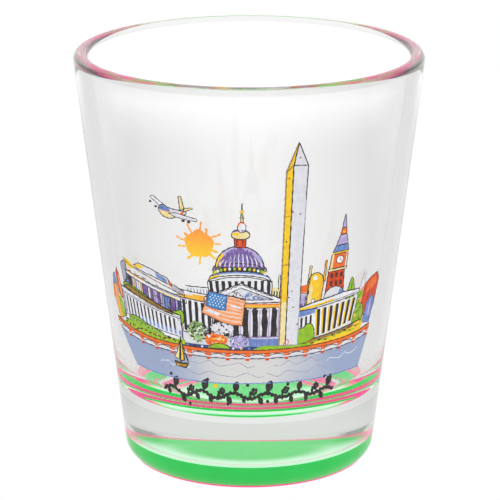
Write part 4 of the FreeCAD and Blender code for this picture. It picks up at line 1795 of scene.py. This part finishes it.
    def striped_flag(self) -> None:
        """A waving flag with plain stripes and a dotted corner."""
        art = self.start("striped_flag", "ink_orange", 60, 62)
        lower = smooth_run([(-6.7, 27.4), (-4.9, 26.6), (-3.0, 26.0), (-1.0, 25.7)], 0.4)
        upper = smooth_run([(-0.55, 29.5), (-2.2, 30.0), (-3.8, 30.2), (-5.5, 30.7)], 0.4)
        art.shape(Ink.BLUSH, lower + upper, 0.15, Ink.BROWN)
        art.layer()
        art.layer()
        count = 7
        for stripe in range(count):
            rows = []
            for up in ((stripe + 0.02) / count, (stripe + 0.66) / count):
                row = []
                for step in range(15):
                    across = step / 14
                    low = self.run_at(lower, across)
                    high = self.run_at(upper[::-1], across)
                    sway = 0.012 * math.sin(across * 7 + stripe)
                    row.append(
                        (
                            low[0] + (high[0] - low[0]) * (up + sway),
                            low[1] + (high[1] - low[1]) * (up + sway),
                        )
                    )
                rows.append(row)
            art.fill(Ink.PEACH, rows[0] + rows[1][::-1])
        art.layer()
        art.fill(Ink.WHITE, [(-6.2, 27.75), (-4.4, 27.1), (-3.9, 27.4), (-5.6, 28.0)])
        art.fill(Ink.WHITE, [(-2.6, 28.5), (-1.2, 28.2), (-1.1, 28.45), (-2.4, 28.8)])
        art.layer()
        corner = [(-6.1, 28.5), (-4.9, 28.1), (-3.3, 27.9), (-3.0, 30.1), (-5.5, 30.65)]
        art.shape(Ink.SKY, corner, 0.1, Ink.NAVY)
        art.layer()
        art.layer()
        grid = patch((-5.85, 28.6), (-3.4, 28.15), (-3.2, 29.9), (-5.35, 30.35))
        for row in range(5):
            for column in range(5):
                spot = grid((column + (0.3 if row % 2 else 0.75)) / 5.3, (row + 0.5) / 5)
                art.blob(Ink.WHITE, spot, 0.1, 0.1, 0.15, 7)
        art.press()

    @staticmethod
    def run_at(run: Sequence[Point], share: float) -> Point:
        """The point at a share of the way along a run."""
        place = share * (len(run) - 1)
        index = min(int(place), len(run) - 2)
        part = place - index
        a, b = run[index], run[index + 1]
        return a[0] + (b[0] - a[0]) * part, a[1] + (b[1] - a[1]) * part

    def sailing_boat(self) -> None:
        """A small boat with a yellow sail."""
        art = self.start("sailing_boat", "ink_yellow", 60, 63)
        art.shape(
            Ink.OLIVE, [(-11.5, 19.5), (-11.3, 18.9), (-9.7, 18.7), (-9.3, 19.4), (-10.4, 19.25)], 0.12,
        )
        art.shape(
            Ink.CREAM, smooth_run([(-11.5, 20.1), (-10.9, 21.2), (-10.5, 22.4), (-10.7, 19.9)], 0.3), 0.08,
        )
        art.shape(Ink.YELLOW, [(-10.6, 19.7), (-10.35, 22.9), (-10.1, 22.2), (-9.9, 19.8)], 0.11)
        art.layer()
        art.layer()
        art.pen([(-10.5, 19.3), (-10.3, 23.2)], 0.15)
        art.pen([(-10.2, 22.6), (-9.3, 19.6)], 0.1)
        art.fill(Ink.AMBER, [(-11.2, 19.1), (-10.8, 19.1), (-10.8, 18.9), (-11.1, 18.85)])
        art.press()

    def caption_flourish(self) -> None:
        """An inked garland of stems, leaves and curls under the picture."""
        art = self.start("caption_flourish", "ink_black", 0, 71)
        count = 90
        start, end = -13.9, 13.7
        stem = []
        for step in range(count + 1):
            share = step / count
            s = start + (end - start) * share
            stem.append(
                (s, 15.0 + 0.42 * math.sin(share * 2 * math.pi * 5.5) + 0.12 * math.sin(share * 31.0))
            )
        art.pen(stem, 0.46)
        art.layer()
        for number in range(22):
            share = (number + 0.5) / 22.5
            s, h = stem[int(share * count)]
            side = 1 if number % 2 else -1
            lean = art.random.uniform(0.3, 0.8)
            reach = art.random.uniform(1.5, 2.0) if side > 0 else art.random.uniform(1.0, 1.35)
            along = (lean, side * reach)
            across = (-along[1] * 0.27, along[0] * 0.27 + 0.1)
            middle = (s + along[0] * 0.5, h + along[1] * 0.55)
            tip = (s + along[0], h + along[1])
            if number % 4 == 3:
                coil = [
                    (
                        s + 0.5 + 0.55 * (1 - k / 14) * math.sin(0.6 * k - 1.2),
                        h + side * (1.2 - 0.55 * (1 - k / 14) * math.cos(0.6 * k - 1.2)),
                    )
                    for k in range(13)
                ]
                art.pen(smooth_run([(s, h), *coil], 0.2), 0.36)
            else:
                leaf = [
                    (s, h), (middle[0] + across[0], middle[1] + across[1]), tip,
                    (middle[0] - across[0], middle[1] - across[1]),
                ]
                art.fill(Ink.BLACK, smooth_run([*leaf, leaf[0]], 0.2)[:-1])
        for number in range(9):
            share = (number + 0.35) / 9
            s, h = stem[int(share * count)]
            art.blob(Ink.BLACK, (s + 0.5, h - 1.2 if number % 2 else h + 1.9), 0.26, 0.28)
        art.blob(Ink.YELLOW, (-5.2, 16.4), 0.34, 0.34, 0.08, 12)
        art.press()

    def build(self) -> None:
        """Print every motif."""
        for motif in (
            self.river, self.sun, self.airplane, self.left_gallery, self.left_towers, self.right_towers,
            self.tree_row, self.clock_tower, self.castle_tower, self.long_colonnade, self.domed_hall,
            self.columned_temple, self.arcade_bridge, self.shore_bushes, self.obelisk, self.striped_flag,
            self.sailing_boat, self.caption_flourish,
        ):
            motif()


@dataclass
class Studio:
    """A white table, a pale room with two darker flags of cloth, and the camera.

    The camera sees the table and the room as pure white. Rays that pass through the glass or bounce off it
    find both darker towards the sides, which gives the glass its grey edges.
    """

    floor_half: float = 3.0
    camera_place: tuple[float, float, float] = (0.00012, -0.459, 0.15988)
    camera_tilt: float = 74.28
    lens: float = 239.0
    sensor: float = 36.0
    bounces: int = 48
    flag_stops: tuple[tuple[float, float], ...] = (
        (0.0, 1.0), (0.08, 0.95), (0.17, 0.88), (0.22, 0.4), (0.32, 0.4), (0.38, 1.0), (1.0, 1.0),
    )
    top_start: float = 0.5
    top_end: float = 0.8
    floor_shade_tone: float = 0.79
    floor_edge_shade_tone: float = 0.6
    floor_bright_start: float = 0.17
    floor_bright_end: float = 0.24
    floor_near: float = 0.008
    floor_far: float = 0.045
    floor_glow: float = 0.2

    def build_floor(self) -> None:
        """A white table top, pure white to the camera and grey painted shade near the glass to other rays.
        """
        deselect()
        bpy.ops.mesh.primitive_plane_add(size=2 * self.floor_half)
        floor = bpy.context.object
        floor.name = "table_top"
        material = bpy.data.materials.new("white_table")
        material.use_nodes = True
        material.node_tree.nodes.clear()
        nodes = Nodes(material.node_tree)
        split = nodes.place()
        # Painted shade: grey nearer the glass and darker still to the sides, white further back.
        side = nodes.math("ABSOLUTE", split.outputs["X"])
        tone = nodes.ramp(side, self.floor_near, self.floor_far, self.floor_shade_tone, self.floor_edge_shade_tone)
        far = nodes.fade(split.outputs["Y"], self.floor_bright_start, self.floor_bright_end)
        matt = nodes.node("ShaderNodeBsdfDiffuse")
        nodes.join(nodes.blend(far, tone.outputs[0], WHITE), matt.inputs["Color"])
        lift = nodes.node("ShaderNodeEmission")
        lift.inputs["Strength"].default_value = self.floor_glow
        both = nodes.node("ShaderNodeAddShader")
        nodes.join(matt.outputs[0], both.inputs[0])
        nodes.join(lift.outputs[0], both.inputs[1])
        path = nodes.node("ShaderNodeLightPath")
        seen = nodes.node("ShaderNodeEmission")
        choose = nodes.node("ShaderNodeMixShader")
        shaders = (path.outputs["Is Camera Ray"], both.outputs[0], seen.outputs[0])
        for socket, end in zip(shaders, choose.inputs):
            nodes.join(socket, end)
        output = nodes.node("ShaderNodeOutputMaterial")
        nodes.join(choose.outputs[0], output.inputs[0])
        floor.data.materials.append(material)
        floor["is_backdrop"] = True

    def build_world(self) -> None:
        """A white room whose walls are darker to the back left and back right, so the glass has edges."""
        world = bpy.data.worlds.new("studio")
        bpy.context.scene.world = world
        world.use_nodes = True
        world.node_tree.nodes.clear()
        nodes = Nodes(world.node_tree)
        split = nodes.place("Generated")
        side = nodes.math("ABSOLUTE", split.outputs["X"])
        turn = nodes.math("ARCTAN2", side, split.outputs["Y"])
        walls = nodes.node("ShaderNodeValToRGB")
        nodes.join(nodes.ramp(turn, 0.0, math.pi).outputs[0], walls.inputs[0])
        stops = walls.color_ramp.elements
        while len(stops) < len(self.flag_stops):
            stops.new(0.5)
        for stop, (place, tone) in zip(stops, self.flag_stops):
            stop.position = place
            stop.color = (tone, tone, tone, 1.0)
        height = nodes.ramp(split.outputs["Z"], self.top_start, self.top_end)
        room = nodes.blend(height.outputs[0], walls.outputs[0], WHITE)
        path = nodes.node("ShaderNodeLightPath")
        seen = nodes.blend(path.outputs["Is Camera Ray"], room, WHITE)
        background = nodes.node("ShaderNodeBackground")
        nodes.join(seen, background.inputs[0])
        output = nodes.node("ShaderNodeOutputWorld")
        nodes.join(background.outputs[0], output.inputs[0])

    def build_camera(self) -> None:
        """The camera looks down on the glass from the front."""
        data = bpy.data.cameras.new("camera")
        data.lens = self.lens
        data.sensor_width = self.sensor
        camera = bpy.data.objects.new("camera", data)
        bpy.context.scene.collection.objects.link(camera)
        camera.location = self.camera_place
        camera.rotation_euler = (math.radians(self.camera_tilt), 0.0, 0.0)
        bpy.context.scene.camera = camera

    def build(self) -> None:
        """Set up the whole studio and how light passes through glass."""
        self.build_floor()
        self.build_world()
        self.build_camera()
        scene = bpy.context.scene
        scene.view_settings.view_transform = "Standard"
        cycles = scene.cycles
        cycles.max_bounces = self.bounces
        cycles.transmission_bounces = self.bounces
        cycles.glossy_bounces = self.bounces
        cycles.caustics_reflective = True
        cycles.caustics_refractive = True
        cycles.blur_glossy = 0.0


def corners(box: Iterable[Vector]) -> list[list[float]]:
    """Write a box's two corners as plain lists."""
    return [list(corner) for corner in box]


def main() -> None:
    """Build the shot glass in its studio."""
    logging.basicConfig(level=logging.INFO)
    cad_box = corners(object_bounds())
    Studio().build()
    glass = Tumbler()
    glass.build_glass()
    glass.build_paint()
    Skyline(glass).build()
    {"cad": cad_box, "visual": corners(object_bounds())}


if __name__ == "__main__":
    main()
